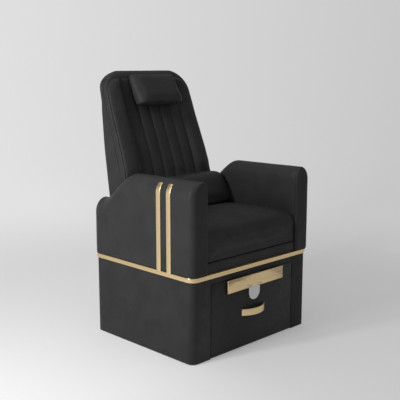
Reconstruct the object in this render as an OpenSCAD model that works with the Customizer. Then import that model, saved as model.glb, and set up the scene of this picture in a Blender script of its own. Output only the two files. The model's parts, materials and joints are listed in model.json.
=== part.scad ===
// Pedicure chair: an upholstered armchair on a box plinth with a basin drawer.
// The origin is the middle of the footprint on the floor, +Z is up and the front
// faces -Y. Left is the -X side and right is the +X side.

/* [Body] */
// Width of the body across the arms
body_w = 780; // [740:5:820]
// Depth of the body from the front of the arms to the rear
body_d = 665; // [640:5:700]
// Radius of the upright corners of the body
corner_r = 34; // [28:1:46]
// Thickness of the boards of the plinth
board_t = 18; // [15:1:21]

/* [Plinth] */
// Height of the top of the plinth above the floor
plinth_h = 368; // [355:1:390]
// Height of the glides under the plinth
glide_h = 3; // [2:0.5:6]
// Radius of one glide
glide_r = 20; // [12:1:28]
// Distance of the outer glides from the faces of the body
glide_inset = 60; // [50:1:90]
// Width of each front post, from the side to the drawer opening
post_w = 111; // [100:1:125]
// Height of the header above the drawer opening
header_h = 26; // [20:1:36]
// Thickness of the floor board
floor_t = 16; // [12:1:20]

/* [Belt] */
// Height of the metal belt and of the deck board inside it
belt_h = 20; // [16:1:26]
// How far the belt stands out from the body
belt_proud = 5; // [2:0.5:8]
// How far the belt is let into the body
belt_let = 5; // [3:0.5:8]

/* [Arms] */
// Thickness of one arm
arm_w = 99; // [90:0.5:106]
// How far the arms stand out over the plinth
arm_over = 8; // [5:0.5:10]
// Height of the crown of the arms above the floor, at the front
arm_top = 794; // [780:1:830]
// How much lower the crown is at the rear, beside the fall to the shoulder
arm_sag = 6; // [0:1:10]
// Radius of the outer top edge of an arm
arm_outer_r = 65; // [50:1:68]
// Radius of the front and rear edges of an arm
arm_edge_r = 10; // [6:1:14]
// Height of the low rear shoulder below the crown
shoulder_drop = 135; // [100:1:140]
// Share of the body's depth that lies before the fall towards the shoulder
shoulder_start_share = 0.594; // [0.57:0.002:0.616]
// Length of the fall towards the shoulder, as a share of the body's depth
shoulder_len_share = 0.361; // [0.3:0.002:0.368]
// Radius of the top rear corner of an arm
shoulder_r = 25; // [15:1:40]
// Thickness of the padding over the arm frame
arm_pad_t = 14; // [10:1:18]
// Width of the rails of the arm frame
arm_rail_w = 40; // [30:1:50]

/* [Arm strips] */
// Width of one metal strip
strip_w = 26; // [20:1:34]
// Gap between the two metal strips
strip_gap = 38; // [30:1:46]
// Distance from the front to the middle of the pair of strips
strip_mid = 176.5; // [150:0.5:220]
// How far a strip stands out from the arm
strip_proud = 3; // [2:0.5:5]
// Angle by which a strip follows the round of the arm
strip_bend = 44; // [30:1:60]

/* [Seat] */
// How far the seat is set back behind the front of the arms
seat_recess = 12; // [6:1:16]
// Height of the front rail under the cushion
rail_h = 48; // [42:1:54]
// Thickness of the front rail and of the ribs of the seat deck
rail_t = 18; // [15:1:22]
// Thickness of the panel of the seat deck
seat_panel_t = 15; // [12:1:18]
// Height of the cushion at its highest seam line
seat_h = 152; // [130:1:156]
// Extra height of the crown in the middle of the cushion
seat_crown = 3; // [0:1:12]
// Radius of the front top edge of the cushion
seat_front_r = 40; // [30:1:50]
// Radius of the ends of the cushion beside the arms
seat_end_r = 16; // [8:1:20]

/* [Back] */
// Height of the top of the back above the floor
back_top = 1240; // [1210:1:1270]
// Height of the foot of the back above the deck
back_lift = 72; // [70:1:78]
// Distance from the rear of the body to the front face at the foot of the back
back_reach = 211; // [206:1:216]
// Depth of the back at its foot
back_foot_d = 194; // [185:1:198]
// Lean of the front face from upright, in degrees
back_lean = 19.3; // [18:0.1:20]
// Depth of the back at its top, before its edges are rounded
back_top_d = 58.4; // [56:0.2:66]
// Gap between the foot of the back and each arm
back_side_gap = 2; // [1:0.5:10]
// Width of the back at its top before its corners are rounded, as a share of its foot
back_top_share = 0.9125; // [0.85:0.0025:0.95]
// Radius of the top corners
back_corner_r = 108; // [60:1:115]
// Depth of the front pad
back_pad_t = 36; // [33:1:38]
// Width of one sewn channel
channel_w = 69.5; // [64:0.5:72]
// Depth of the stitched grooves between channels
channel_d = 9; // [5:0.5:10]
// Thickness of the rear cover's wall
cover_t = 8; // [6:0.5:9]
// Thickness of the board of the back frame
frame_t = 12; // [10:0.5:13]

/* [Recline hinge] */
// Height of the hinge line above the deck
pivot_h = 45; // [43:1:47]
// Distance of the hinge line from the rear of the body
pivot_in = 47.5; // [44:0.5:52]
// Distance of each hinge from the inner face of the arm beside it
pivot_side = 99; // [79:1:139]
// Radius of the hinge pins
pin_r = 5; // [4:0.1:6]
// Radius of the eyes of the hinge plates
eye_r = 14; // [12:0.5:16]
// Thickness of the hinge plates
plate_t = 5; // [4:0.5:6]

/* [Pillows] */
// Length of the head pillow
head_w = 290; // [260:1:310]
// Height of the head pillow along the back
head_h = 160; // [140:1:170]
// Thickness of the head pillow at its foot
head_low_t = 94; // [60:1:110]
// Thickness of the head pillow at its top
head_top_t = 50; // [30:1:60]
// Distance from the top of the back down to the middle of the head pillow
head_drop = 100; // [90:1:115]
// Gap between each end of the lumbar bolster and the arm beside it
bolster_side_gap = 3; // [1:0.5:20]
// Height of the top of the bolster above the seam line of the seat
bolster_h = 150; // [130:1:180]
// Thickness of the bolster at its foot
bolster_low_t = 120; // [100:1:130]
// Thickness of the bolster at its top
bolster_top_t = 86; // [70:1:100]

/* [Drawer] */
// Width of the seam round the drawer front
drawer_gap = 3; // [2:0.5:4]
// Thickness of the sides and the back of the drawer
side_t = 12; // [10:0.5:13]
// Thickness of the bottom of the drawer
bottom_t = 9; // [6:0.5:12]
// Gap between the back of the drawer box and the rear board of the plinth
drawer_rear_gap = 69; // [59:1:89]
// Height of the drawer box
drawer_box_h = 264; // [250:1:268]

/* [Slides] */
// How much shorter the slides are than the drawer box
slide_short = 60; // [40:5:80]
// Height of a drawer slide
slide_h = 45; // [42:1:50]
// Thickness of a drawer slide
slide_t = 12.7; // [12.5:0.1:13.5]
// Thickness of the sheet of a drawer slide
slide_sheet = 1.5; // [1.2:0.1:1.6]
// Height of the middle of the slides above the bottom of the drawer box
slide_lift = 125; // [100:1:150]

/* [Basin] */
// Length of the basin from front to rear
basin_d = 372; // [340:1:380]
// Thickness of the basin's wall
basin_t = 4; // [3:0.5:5]
// Depth of the basin
basin_h = 210; // [180:1:220]
// How much narrower the basin is at its bottom, on each side
basin_taper = 24; // [15:1:30]
// Radius of the basin's corners
basin_r = 60; // [45:1:70]
// Width of the rim of the basin
rim_w = 8; // [7:0.5:9]
// Radius of the drain hole
drain_r = 22; // [18:1:26]

/* [Handle] */
// Length of the bow handle
handle_w = 158; // [130:1:170]
// Height of the band of the handle
handle_h = 31; // [24:1:36]
// How far the handle bows out
handle_bow = 30; // [25:1:34]
// Thickness of the band
handle_t = 5; // [4:0.5:6]
// Height of the middle of the handle above the floor
handle_z = 168.5; // [148:0.5:178]
// Width of the feet of the handle
handle_foot = 16; // [14:1:20]

/* [Footrest] */
// Width of the footrest plate
rest_w = 376; // [340:1:400]
// Height of the footrest plate
rest_h = 60; // [50:1:64]
// Thickness of the footrest plate
rest_t = 12; // [10:0.5:14]
// Drop from the top of the plinth to the lower edge of the plate
rest_drop = 87; // [85:1:92]
// Width of the tongue of the bracket
tongue_w = 74; // [64:1:84]
// Thickness of the tongue
tongue_t = 6; // [5:0.5:8]
// How far the tongue reaches below the lower edge of the plate
tongue_reach = 64; // [53:1:73]
// Radius of the pin of the footrest
rest_pin_r = 3; // [2.5:0.1:3.5]

/* [Hidden] */
$fn = 64;
soft_fn = 32;
// Gap between parts that are seated on each other
clear = 0.3;
// Radial gap of a pin in its bore
run_gap = 0.05;
// Overrun of cuts through a face
over = 1;
// Thin slice that a hull starts from
slice = 0.5;

front_y = -body_d / 2;
rear_y = body_d / 2;
base_z = plinth_h + belt_h;
open_x = body_w / 2 - post_w;
inner_y = body_d / 2 - board_t;
floor_top = glide_h + floor_t;
arm_out = body_w / 2 + arm_over;
arm_in = arm_out - arm_w;
arm_mid = arm_out - arm_w / 2;
arm_inner_r = arm_w - arm_outer_r;
arm_front = front_y - arm_over;
arm_rear = rear_y + arm_over;
arm_corner_r = corner_r + arm_over;
shoulder_start = shoulder_start_share * body_d;
shoulder_len = shoulder_len_share * body_d;

bolt_r = 4;
bolt_head_r = 6.5;
bolt_head_h = 5.5;
bolt_bite = 30;
bolt_y_shares = [-0.75, -0.25, 0.27, 0.75];

screw_r = 2;
screw_head_r = 3.8;
screw_head_h = 2;
screw_bite = 8;

pivot_y = rear_y - pivot_in;
pivot_z = base_z + pivot_h;
pivot_x = arm_in - pivot_side;
back_z = base_z + back_lift;
back_h = back_top - back_z;
back_y = rear_y - back_reach;
back_rear_lean = atan(tan(back_lean) - (back_foot_d - back_top_d) / back_h);
back_foot_w = 2 * (arm_in - back_side_gap);
back_top_w = back_foot_w * back_top_share;
back_roll = 18;
back_rear_roll = 20;
back_rear_r = 20;
back_edge = 10;
chan_half = 2.5 * channel_w;

seat_z = base_z + rail_h + clear;
seat_y = arm_front + seat_recess;
seat_half = arm_in - clear;
seat_back_gap = 12;
bolster_w = 2 * (arm_in - bolster_side_gap);

drawer_half = open_x - slide_t;
drawer_z = floor_top + 7;
box_y = front_y + board_t;
drawer_d = inner_y - drawer_rear_gap - box_y;
slide_len = drawer_d - slide_short;
rim_z = drawer_z + drawer_box_h;
slide_z = drawer_z + slide_lift;
slide_y = box_y + 2.5;

rest_z = plinth_h - rest_drop;
tongue_z = rest_z - tongue_reach;
rest_axis_y = front_y - tongue_t - clear - rest_t / 2;
rest_axis_z = rest_z + rest_t / 2;

// Fall of a round of radius r at distance d from the end that it rounds
function round_fall(r, d) = d >= r ? 0 : r - sqrt(r * r - (r - d) * (r - d));
function mix(a, b, t) = a + (b - a) * t;
function middle(ring) = [for (k = [0:2]) mix(min([for (p = ring) p[k]]), max([for (p = ring) p[k]]), 0.5)];

// Solid through a row of rings, each turning right-handed about the way the row runs
module loft(rings) {
    n = len(rings[0]);
    m = len(rings);
    points = concat([for (ring = rings) each ring], [middle(rings[0]), middle(rings[m - 1])]);
    sides = [for (i = [0:m - 2], j = [0:n - 1]) let (a = i * n + j, b = i * n + (j + 1) % n)
        each [[a, b + n, b], [a, a + n, b + n]]];
    first = [for (j = [0:n - 1]) [m * n, j, (j + 1) % n]];
    last = [for (j = [0:n - 1]) [m * n + 1, (m - 1) * n + (j + 1) % n, (m - 1) * n + j]];
    polyhedron(concat(points), concat(sides, first, last));
}

module block(low, high) {
    translate(low) cube(high - low);
}

// Upright prism of an outline in X and Y
module upright(z0, z1) {
    translate([0, 0, z0]) linear_extrude(z1 - z0) children();
}

// Prism of an outline in X and Z that runs along Y
module along_y(y0, y1) {
    translate([0, y1, 0]) rotate([90, 0, 0]) linear_extrude(y1 - y0) children();
}

// Prism of an outline in Y and Z that runs along X
module along_x(x0, x1) {
    translate([x0, 0, 0]) rotate([90, 0, 90]) linear_extrude(x1 - x0) children();
}

module rod_x(x0, x1, y, z, r) {
    translate([x0, y, z]) rotate([0, 90, 0]) cylinder(h = x1 - x0, r = r);
}

module rod_y(y0, y1, x, z, r) {
    translate([x, y0, z]) rotate([-90, 0, 0]) cylinder(h = y1 - y0, r = r);
}

module rod_z(z0, z1, x, y, r) {
    translate([x, y, z0]) cylinder(h = z1 - z0, r = r);
}

module mirrored() {
    mirror([1, 0, 0]) children();
}

module both_sides() {
    children();
    mirrored() children();
}

// Rectangle with round corners, centred
module rounded(w, d, r) {
    square([w - 2 * r, d], center = true);
    square([w, d - 2 * r], center = true);
    for (x = [-1, 1], y = [-1, 1]) translate([x * (w / 2 - r), y * (d / 2 - r)]) circle(r);
}

// Outline of the body, drawn in by some distance on every side
module footprint(inset) {
    rounded(body_w - 2 * inset, body_d - 2 * inset, corner_r - inset);
}

// Plinth

module plinth_side() {
    upright(glide_h, plinth_h) intersection() {
        difference() {
            footprint(0);
            footprint(board_t);
        }
        translate([open_x, front_y]) square([post_w, body_d]);
    }
}

module plinth_left() {
    color([0.06, 0.06, 0.06]) mirrored() plinth_side();
}

module plinth_right() {
    color([0.06, 0.06, 0.06]) plinth_side();
}

module plinth_rear() {
    color([0.06, 0.06, 0.06]) block([-open_x, inner_y, glide_h], [open_x, rear_y, plinth_h]);
}

module plinth_header() {
    color([0.06, 0.06, 0.06])
        block([-open_x, front_y, plinth_h - header_h], [open_x, -inner_y, plinth_h]);
}

module plinth_floor() {
    color([0.62, 0.5, 0.36]) upright(glide_h, floor_top) intersection() {
        footprint(board_t + clear);
        translate([-body_w / 2, -inner_y + clear]) square([body_w, body_d - 2 * board_t - clear]);
    }
}

module runner_board() {
    block([open_x, -inner_y, floor_top], [open_x + board_t, inner_y, plinth_h]);
}

module runner_board_left() {
    color([0.62, 0.5, 0.36]) mirrored() runner_board();
}

module runner_board_right() {
    color([0.62, 0.5, 0.36]) runner_board();
}

module glides() {
    x = body_w / 2 - glide_inset;
    y = body_d / 2 - glide_inset;
    color([0.2, 0.2, 0.2]) {
        for (sx = [-1, 1], sy = [-1, 1]) rod_z(0, glide_h, sx * x, sy * y, glide_r);
        rod_z(0, glide_h, 0, 0, glide_r);
    }
}

// Deck and belt

module bolt_places() {
    for (side = [-1, 1], s = bolt_y_shares)
        translate([side * arm_mid, s * body_d / 2, 0]) children();
}

module deck_board() {
    color([0.62, 0.5, 0.36]) difference() {
        upright(plinth_h, base_z) footprint(belt_let);
        bolt_places() rod_z(plinth_h - over, base_z + over, 0, 0, bolt_r + clear);
    }
}

module belt_trim() {
    color([0.78, 0.6, 0.32]) upright(plinth_h, base_z) difference() {
        footprint(-belt_proud);
        footprint(belt_let);
    }
}

// Arms

// Height of the crown of an arm at y
function arm_crown(y) =
    let (t = min(1, max(0, (y - front_y - shoulder_start) / shoulder_len)))
    arm_top - arm_sag * (y - arm_front) / body_d - shoulder_drop * (1 - cos(180 * t)) / 2
        - round_fall(shoulder_r, arm_rear - y) - round_fall(arm_edge_r, y - arm_front);

// Section of the right arm at y, from its inner foot over the crown to its outer foot
function arm_section(y) =
    let (
        d = min(y - arm_front, arm_rear - y),
        edge = round_fall(arm_edge_r, d),
        inner = arm_in + edge,
        outer = arm_out - round_fall(arm_corner_r, d),
        ridge = inner + (outer - inner) * arm_inner_r / arm_w,
        top = arm_crown(y)
    )
    concat(
        [[inner, y, base_z]],
        [for (a = [0:18:90]) [ridge - (ridge - inner) * cos(a), y, top - arm_inner_r * (1 - sin(a))]],
        [for (a = [15:15:90]) [ridge + (outer - ridge) * sin(a), y, top - arm_outer_r * (1 - cos(a))]],
        [[outer, y, base_z]]
    );

// Stations of the arm's sections, closer where its surface turns
arm_end_shares = [0, 0.03, 0.1, 0.22, 0.42, 0.68, 1];
arm_stations = concat(
    [for (s = arm_end_shares) arm_front + arm_corner_r * s],
    [for (k = [0:8]) front_y + shoulder_start + (shoulder_len - shoulder_r) * k / 8],
    [for (k = [6:-1:0]) arm_rear - arm_corner_r * arm_end_shares[k]]
);

cavity_top = arm_top - arm_outer_r * 0.7;
cavity_low = cavity_top - shoulder_drop;
cavity_x = arm_in + arm_pad_t;
cavity_out = arm_out - arm_pad_t;
cavity_front = front_y + corner_r / 2;
cavity_step = front_y + shoulder_start;
cavity_rear = rear_y - corner_r;

// Side outline of the room inside an arm, drawn in by some distance
module arm_room(inset) {
    polygon([
        [cavity_front + inset, base_z],
        [cavity_rear - inset, base_z],
        [cavity_rear - inset, cavity_low - inset],
        [cavity_step - inset, cavity_low - inset],
        [cavity_step - inset, cavity_top - inset],
        [cavity_front + inset, cavity_top - inset]
    ]);
}

module arm_cover() {
    difference() {
        loft([for (y = arm_stations) arm_section(y)]);
        translate([0, 0, -over]) along_x(cavity_x, cavity_out) arm_room(0);
        along_x(cavity_x, cavity_out) arm_room(0);
    }
}

module arm_frame() {
    rail = arm_rail_w;
    difference() {
        along_x(cavity_x + clear, cavity_out - clear) arm_room(clear);
        block([cavity_x, cavity_front + rail, base_z + rail],
            [cavity_out, cavity_rear - rail, cavity_low - rail]);
        block([cavity_x, cavity_front + rail, cavity_low],
            [cavity_out, cavity_step - rail, cavity_top - rail]);
        bolt_places() rod_z(base_z - over, base_z + rail - over, 0, 0, bolt_r + run_gap);
    }
}

module arm_cover_left() {
    color([0.07, 0.07, 0.07]) mirrored() arm_cover();
}

module arm_cover_right() {
    color([0.07, 0.07, 0.07]) arm_cover();
}

module arm_frame_left() {
    color([0.7, 0.58, 0.42]) mirrored() arm_frame();
}

module arm_frame_right() {
    color([0.7, 0.58, 0.42]) arm_frame();
}

module arm_bolts() {
    color([0.7, 0.7, 0.72]) bolt_places() {
        rod_z(plinth_h, base_z + bolt_bite, 0, 0, bolt_r);
        rod_z(plinth_h - bolt_head_h, plinth_h, 0, 0, bolt_head_r);
    }
}

// Cross-section of a strip, standing out from distance r
module strip_profile(r) {
    bevel = strip_proud / 3;
    polygon([
        [r, -strip_w / 2],
        [r + strip_proud - bevel, -strip_w / 2],
        [r + strip_proud, bevel - strip_w / 2],
        [r + strip_proud, strip_w / 2 - bevel],
        [r + strip_proud - bevel, strip_w / 2],
        [r, strip_w / 2]
    ]);
}

module trim_strips() {
    bend_z = arm_top - arm_outer_r;
    for (side = [-1, 1]) translate([0, arm_front + strip_mid + side * (strip_w + strip_gap) / 2, 0]) {
        upright(base_z, bend_z) strip_profile(arm_out);
        translate([arm_out - arm_outer_r, 0, bend_z]) rotate([90, 0, 0])
            rotate_extrude(angle = strip_bend) strip_profile(arm_outer_r);
    }
}

module trim_strips_left() {
    color([0.78, 0.6, 0.32]) mirrored() trim_strips();
}

module trim_strips_right() {
    color([0.78, 0.6, 0.32]) trim_strips();
}

// Seat

module seat_front_rail() {
    color([0.07, 0.07, 0.07])
        block([-seat_half, seat_y, base_z], [seat_half, seat_y + rail_t, base_z + rail_h]);
}

seat_deck_rear = back_y - seat_back_gap;

module seat_deck() {
    top = base_z + rail_h;
    y0 = seat_y + rail_t;
    color([0.62, 0.5, 0.36]) {
        block([-seat_half, y0, top - seat_panel_t], [seat_half, seat_deck_rear, top]);
        for (y = [mix(y0, seat_deck_rear, 0.5), seat_deck_rear - rail_t])
            block([-seat_half, y, base_z], [seat_half, y + rail_t, top]);
    }
}

// Front face of the back at height z
function back_front(z) = back_y + (z - back_z) * tan(back_lean);

// Dip of the cushion's seam line, measured from its highest place
seat_dip = 11;
seat_high_share = 0.43;
seat_line_shares = [0.97, 0.88, 0.72, 0.55, 0.4, 0.26];

// Section of the seat cushion at x, from its rear foot over the top to its front foot
function seat_section(x) =
    let (
        u = x / seat_half,
        edge = round_fall(seat_end_r, seat_half - abs(x)),
        depth = back_y - seat_y,
        top = seat_z + seat_h + seat_crown * (1 - u * u) - edge,
        rear = back_front(seat_z + seat_h) - seat_back_gap - edge / 2,
        fy = seat_y + edge / 4,
        arc_z = top - seat_dip * 0.6 - seat_front_r
    )
    concat(
        [[x, back_front(seat_z) - seat_back_gap - edge / 2, seat_z]],
        [[x, rear - seat_end_r / 2, top - seat_dip * 3 - seat_end_r]],
        [for (s = seat_line_shares) let (d = (s - seat_high_share) * 2)
            [x, seat_y + (rear - seat_end_r - seat_y) * s, top - seat_dip * d * d * 1.6]],
        [for (a = [90:15:180])
            [x, fy + seat_front_r + seat_front_r * cos(a), arc_z + seat_front_r * sin(a)]],
        [[x, fy, seat_z]]
    );

// Places of sections along a cushion, as shares of its half length
cushion_shares = [-1, -0.993, -0.978, -0.95, -0.75, -0.5, -0.25, 0, 0.25, 0.5, 0.75, 0.95, 0.978, 0.993, 1];

module seat_cushion() {
    color([0.08, 0.08, 0.08]) loft([for (s = cushion_shares) seat_section(s * seat_half)]);
}

module rear_panel() {
    color([0.06, 0.06, 0.06])
        block([-seat_half, inner_y, base_z], [seat_half, rear_y, base_z + pivot_h]);
}

// Drawer slides

// Channel of a slide in X and Z, with its plate at x0 and its flanges ending at x1
module slide_profile(x0, x1, h) {
    way = sign(x1 - x0);
    plate = x0 + way * slide_sheet;
    translate([min(x0, plate), -h / 2]) square([slide_sheet, h]);
    for (z = [-h / 2, h / 2 - slide_sheet])
        translate([min(x0, x1), z]) square([abs(x1 - x0), slide_sheet]);
}

slide_step = 2 * (slide_sheet + clear);
slide_screw_shares = [0.1, 0.5, 0.9];

module slide_member(x0, x1, h) {
    along_y(slide_y, slide_y + slide_len) translate([0, slide_z]) slide_profile(x0, x1, h);
}

module slide_screw_places() {
    for (s = slide_screw_shares) translate([0, slide_y + slide_len * s, slide_z]) children();
}

module slide_outer() {
    difference() {
        slide_member(open_x, open_x - slide_t * 0.7, slide_h);
        slide_screw_places() rod_x(open_x - slide_t, open_x + over, 0, 0, screw_r + run_gap);
    }
}

module slide_middle() {
    plate = open_x - slide_sheet - screw_head_h / 2 - clear;
    slide_member(plate, drawer_half + slide_sheet * 1.6, slide_h - slide_step);
}

module slide_inner() {
    reach = open_x - slide_sheet * 2 - screw_head_h / 2 - 2 * clear;
    difference() {
        slide_member(drawer_half, reach, slide_h - 2 * slide_step);
        slide_screw_places() rod_x(drawer_half - over, reach, 0, 0, screw_r + run_gap);
    }
}

module slide_outer_left() {
    color([0.75, 0.75, 0.77]) mirrored() slide_outer();
}

module slide_outer_right() {
    color([0.75, 0.75, 0.77]) slide_outer();
}

module slide_middle_left() {
    color([0.7, 0.7, 0.72]) mirrored() slide_middle();
}

module slide_middle_right() {
    color([0.7, 0.7, 0.72]) slide_middle();
}

module slide_inner_left() {
    color([0.75, 0.75, 0.77]) mirrored() slide_inner();
}

module slide_inner_right() {
    color([0.75, 0.75, 0.77]) slide_inner();
}

// Screws that hold the outer members to the runner boards
module slide_screws_body() {
    face = open_x - slide_sheet;
    color([0.6, 0.6, 0.62]) both_sides() slide_screw_places() {
        rod_x(face, open_x, 0, 0, screw_r);
        rod_x(face - screw_head_h / 2, face, 0, 0, screw_head_r);
    }
}

// Screws that hold the inner members to the sides of the drawer
module slide_screws_drawer() {
    face = drawer_half + slide_sheet;
    color([0.6, 0.6, 0.62]) both_sides() slide_screw_places() {
        rod_x(drawer_half, face, 0, 0, screw_r);
        rod_x(face, face + screw_head_h / 2, 0, 0, screw_head_r);
    }
}

// Drawer

front_low = glide_h + drawer_gap;
front_high = plinth_h - header_h - drawer_gap;
front_half = open_x - drawer_gap;
handle_screw_x = handle_w / 2 - handle_foot / 2;
tongue_screw_z_shares = [0.15, 0.5];

module handle_screw_places() {
    for (side = [-1, 1]) translate([side * handle_screw_x, 0, handle_z]) children();
}

module tongue_screw_places() {
    for (s = tongue_screw_z_shares)
        translate([0, 0, mix(tongue_z + tongue_w / 2, rest_z + rest_h, s)]) children();
}

module drawer_front() {
    color([0.06, 0.06, 0.06]) difference() {
        block([-front_half, front_y, front_low], [front_half, box_y, front_high]);
        handle_screw_places() rod_y(front_y - over, box_y + over, 0, 0, screw_r + run_gap);
        tongue_screw_places() rod_y(front_y - over, box_y + over, 0, 0, screw_r + run_gap);
    }
}

module drawer_side() {
    block([drawer_half - side_t, box_y, drawer_z], [drawer_half, box_y + drawer_d, rim_z]);
}

module drawer_side_left() {
    color([0.8, 0.8, 0.8]) mirrored() drawer_side();
}

module drawer_side_right() {
    color([0.8, 0.8, 0.8]) drawer_side();
}

module drawer_back() {
    x = drawer_half - side_t;
    y = box_y + drawer_d;
    color([0.8, 0.8, 0.8]) block([-x, y - side_t, drawer_z], [x, y, rim_z]);
}

module drawer_bottom() {
    x = drawer_half - side_t;
    color([0.8, 0.8, 0.8])
        block([-x, box_y, drawer_z], [x, box_y + drawer_d - side_t, drawer_z + bottom_t]);
}

basin_half = drawer_half - side_t - clear;
basin_y = box_y + screw_head_h + rim_w + 2 * clear;
basin_floor = rim_z - basin_h;
rim_t = 3;
// Radius by which the basin's corners tighten towards its bottom
basin_tight = 14;

// Tapered tub, with its wall drawn in by some distance
module tub(inset, z0, z1) {
    top_w = 2 * (basin_half - inset);
    top_d = basin_d - 2 * inset;
    hull() {
        upright(z1 - slice, z1) rounded(top_w, top_d, basin_r - inset, $fn = soft_fn);
        upright(z0, z0 + slice) rounded(top_w - 2 * basin_taper, top_d - 2 * basin_taper,
            basin_r - basin_tight - inset, $fn = soft_fn);
    }
}

module foot_basin() {
    color([0.9, 0.9, 0.9]) translate([0, basin_y + basin_d / 2, 0]) difference() {
        union() {
            tub(0, basin_floor, rim_z);
            upright(rim_z, rim_z + rim_t)
                rounded(2 * (basin_half + rim_w), basin_d + 2 * rim_w, basin_r / 4, $fn = soft_fn);
        }
        tub(basin_t, basin_floor + basin_t, rim_z + rim_t + over);
        rod_z(basin_floor - over, basin_floor + basin_t + over, 0, 0, drain_r);
    }
}

module basin_drain() {
    flange_t = 2;
    top = basin_floor + basin_t;
    tail_h = 16;
    color([0.8, 0.8, 0.82]) translate([0, basin_y + basin_d / 2, 0]) {
        rod_z(top, top + flange_t, 0, 0, drain_r * 1.3);
        rod_z(top - tail_h, top, 0, 0, drain_r - clear);
    }
}

// Bow handle: a band on a circle through its two ends and its front
handle_r = (handle_w * handle_w / 4 + handle_bow * handle_bow) / (2 * handle_bow);
handle_cy = front_y - handle_bow + handle_r;

module drawer_handle() {
    color([0.78, 0.6, 0.32]) difference() {
        intersection() {
            upright(handle_z - handle_h / 2, handle_z + handle_h / 2) difference() {
                translate([0, handle_cy]) circle(handle_r, $fn = 128);
                intersection() {
                    translate([0, handle_cy]) circle(handle_r - handle_t, $fn = 128);
                    square([handle_w - 2 * handle_foot, body_d + handle_w], center = true);
                }
            }
            block([-handle_w, front_y - handle_bow - over, 0], [handle_w, front_y, plinth_h]);
        }
        handle_screw_places() rod_y(front_y - screw_bite / 2, front_y + over, 0, 0, screw_r + run_gap);
    }
}

module handle_screws() {
    color([0.6, 0.6, 0.62]) handle_screw_places() {
        rod_y(front_y - screw_bite / 2 + clear, box_y, 0, 0, screw_r);
        rod_y(box_y, box_y + screw_head_h, 0, 0, screw_head_r);
    }
}

// Footrest

knuckle_w = 10;
knuckle_x = tongue_w / 2 - knuckle_w / 2;
knuckle_r = rest_t / 2 - clear;

// The tongue lies on the drawer front and carries two knuckles for the plate
module footrest_bracket() {
    y0 = front_y - tongue_t;
    color([0.72, 0.72, 0.72]) difference() {
        union() {
            along_y(y0, front_y) {
                translate([0, tongue_z + tongue_w / 2]) circle(tongue_w / 2);
                translate([-tongue_w / 2, tongue_z + tongue_w / 2])
                    square([tongue_w, rest_z + rest_h - tongue_z - tongue_w / 2 - clear]);
            }
            for (side = [-1, 1]) translate([side * knuckle_x, 0, 0]) {
                rod_x(-knuckle_w / 2, knuckle_w / 2, rest_axis_y, rest_axis_z, knuckle_r);
                block([-knuckle_w / 2, rest_axis_y, rest_axis_z - knuckle_r],
                    [knuckle_w / 2, front_y, rest_axis_z]);
            }
        }
        rod_x(-tongue_w, tongue_w, rest_axis_y, rest_axis_z, rest_pin_r + run_gap);
        tongue_screw_places() rod_y(y0 + tongue_t / 3, front_y + over, 0, 0, screw_r + run_gap);
    }
}

module footrest_screws() {
    color([0.6, 0.6, 0.62]) tongue_screw_places() {
        rod_y(front_y - tongue_t / 2, box_y, 0, 0, screw_r);
        rod_y(box_y, box_y + screw_head_h, 0, 0, screw_head_r);
    }
}

pin_half = tongue_w / 2 + knuckle_w;

module footrest_pin() {
    color([0.7, 0.7, 0.72]) rod_x(-pin_half, pin_half, rest_axis_y, rest_axis_z, rest_pin_r);
}

module footrest_plate() {
    y0 = rest_axis_y - rest_t / 2;
    color([0.78, 0.6, 0.32]) difference() {
        union() {
            rod_x(-rest_w / 2, rest_w / 2, rest_axis_y, rest_axis_z, rest_t / 2);
            block([-rest_w / 2, y0, rest_axis_z], [rest_w / 2, y0 + rest_t, rest_z + rest_h]);
        }
        for (side = [-1, 1]) translate([side * knuckle_x, 0, 0])
            block([-knuckle_w / 2 - clear, y0 - over, rest_z - over],
                [knuckle_w / 2 + clear, y0 + rest_t + over, rest_z + rest_t + clear]);
        rod_x(-pin_half - clear, pin_half + clear, rest_axis_y, rest_axis_z, rest_pin_r + run_gap);
    }
}

// Back

back_rise = (back_foot_w - back_top_w) / 2 / back_h;

// Half width of the back at height z, with its rounded top corners
function back_half(z) =
    back_foot_w / 2 - (z - back_z) * back_rise - round_fall(back_corner_r, back_top - z);
function back_rear(z) = back_y + back_foot_d + (z - back_z) * tan(back_rear_lean);

chan_x_shares = [0, 0.12, 0.5, 0.88];
chan_d_shares = [1, 0.35, 0, 0.35];
panel_x_shares = [0.1, 0.4, 0.75, 0.93, 1];
panel_d_shares = [0.15, 0, 0.06, 0.35, 1];
back_z_shares = [0, 0.012, 0.2, 0.4, 0.6, 0.8, 0.89, 0.93, 0.96, 0.98, 0.992, 1];

// Section of the front pad at height z, left to right over its front and back again
function pad_section(z) =
    let (
        h = back_half(z),
        g = min(chan_half, h * 0.9),
        roll = round_fall(back_roll, back_top - z) + round_fall(back_edge / 2, z - back_z),
        y = back_front(z) + roll,
        rear = back_front(z) + back_pad_t - clear
    )
    concat(
        [for (k = [4:-1:0])
            [-mix(g, h, panel_x_shares[k]), y + back_edge * panel_d_shares[k], z]],
        [for (i = [0:4], k = [0:3])
            [g * (i + chan_x_shares[k] - 2.5) / 2.5, y + channel_d * chan_d_shares[k], z]],
        [[g, y + channel_d, z]],
        [for (k = [0:4]) [mix(g, h, panel_x_shares[k]), y + back_edge * panel_d_shares[k], z]],
        [[h, rear, z], [-h, rear, z]]
    );

module back_cushion() {
    color([0.08, 0.08, 0.08]) loft([for (s = back_z_shares) pad_section(back_z + back_h * s)]);
}

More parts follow.
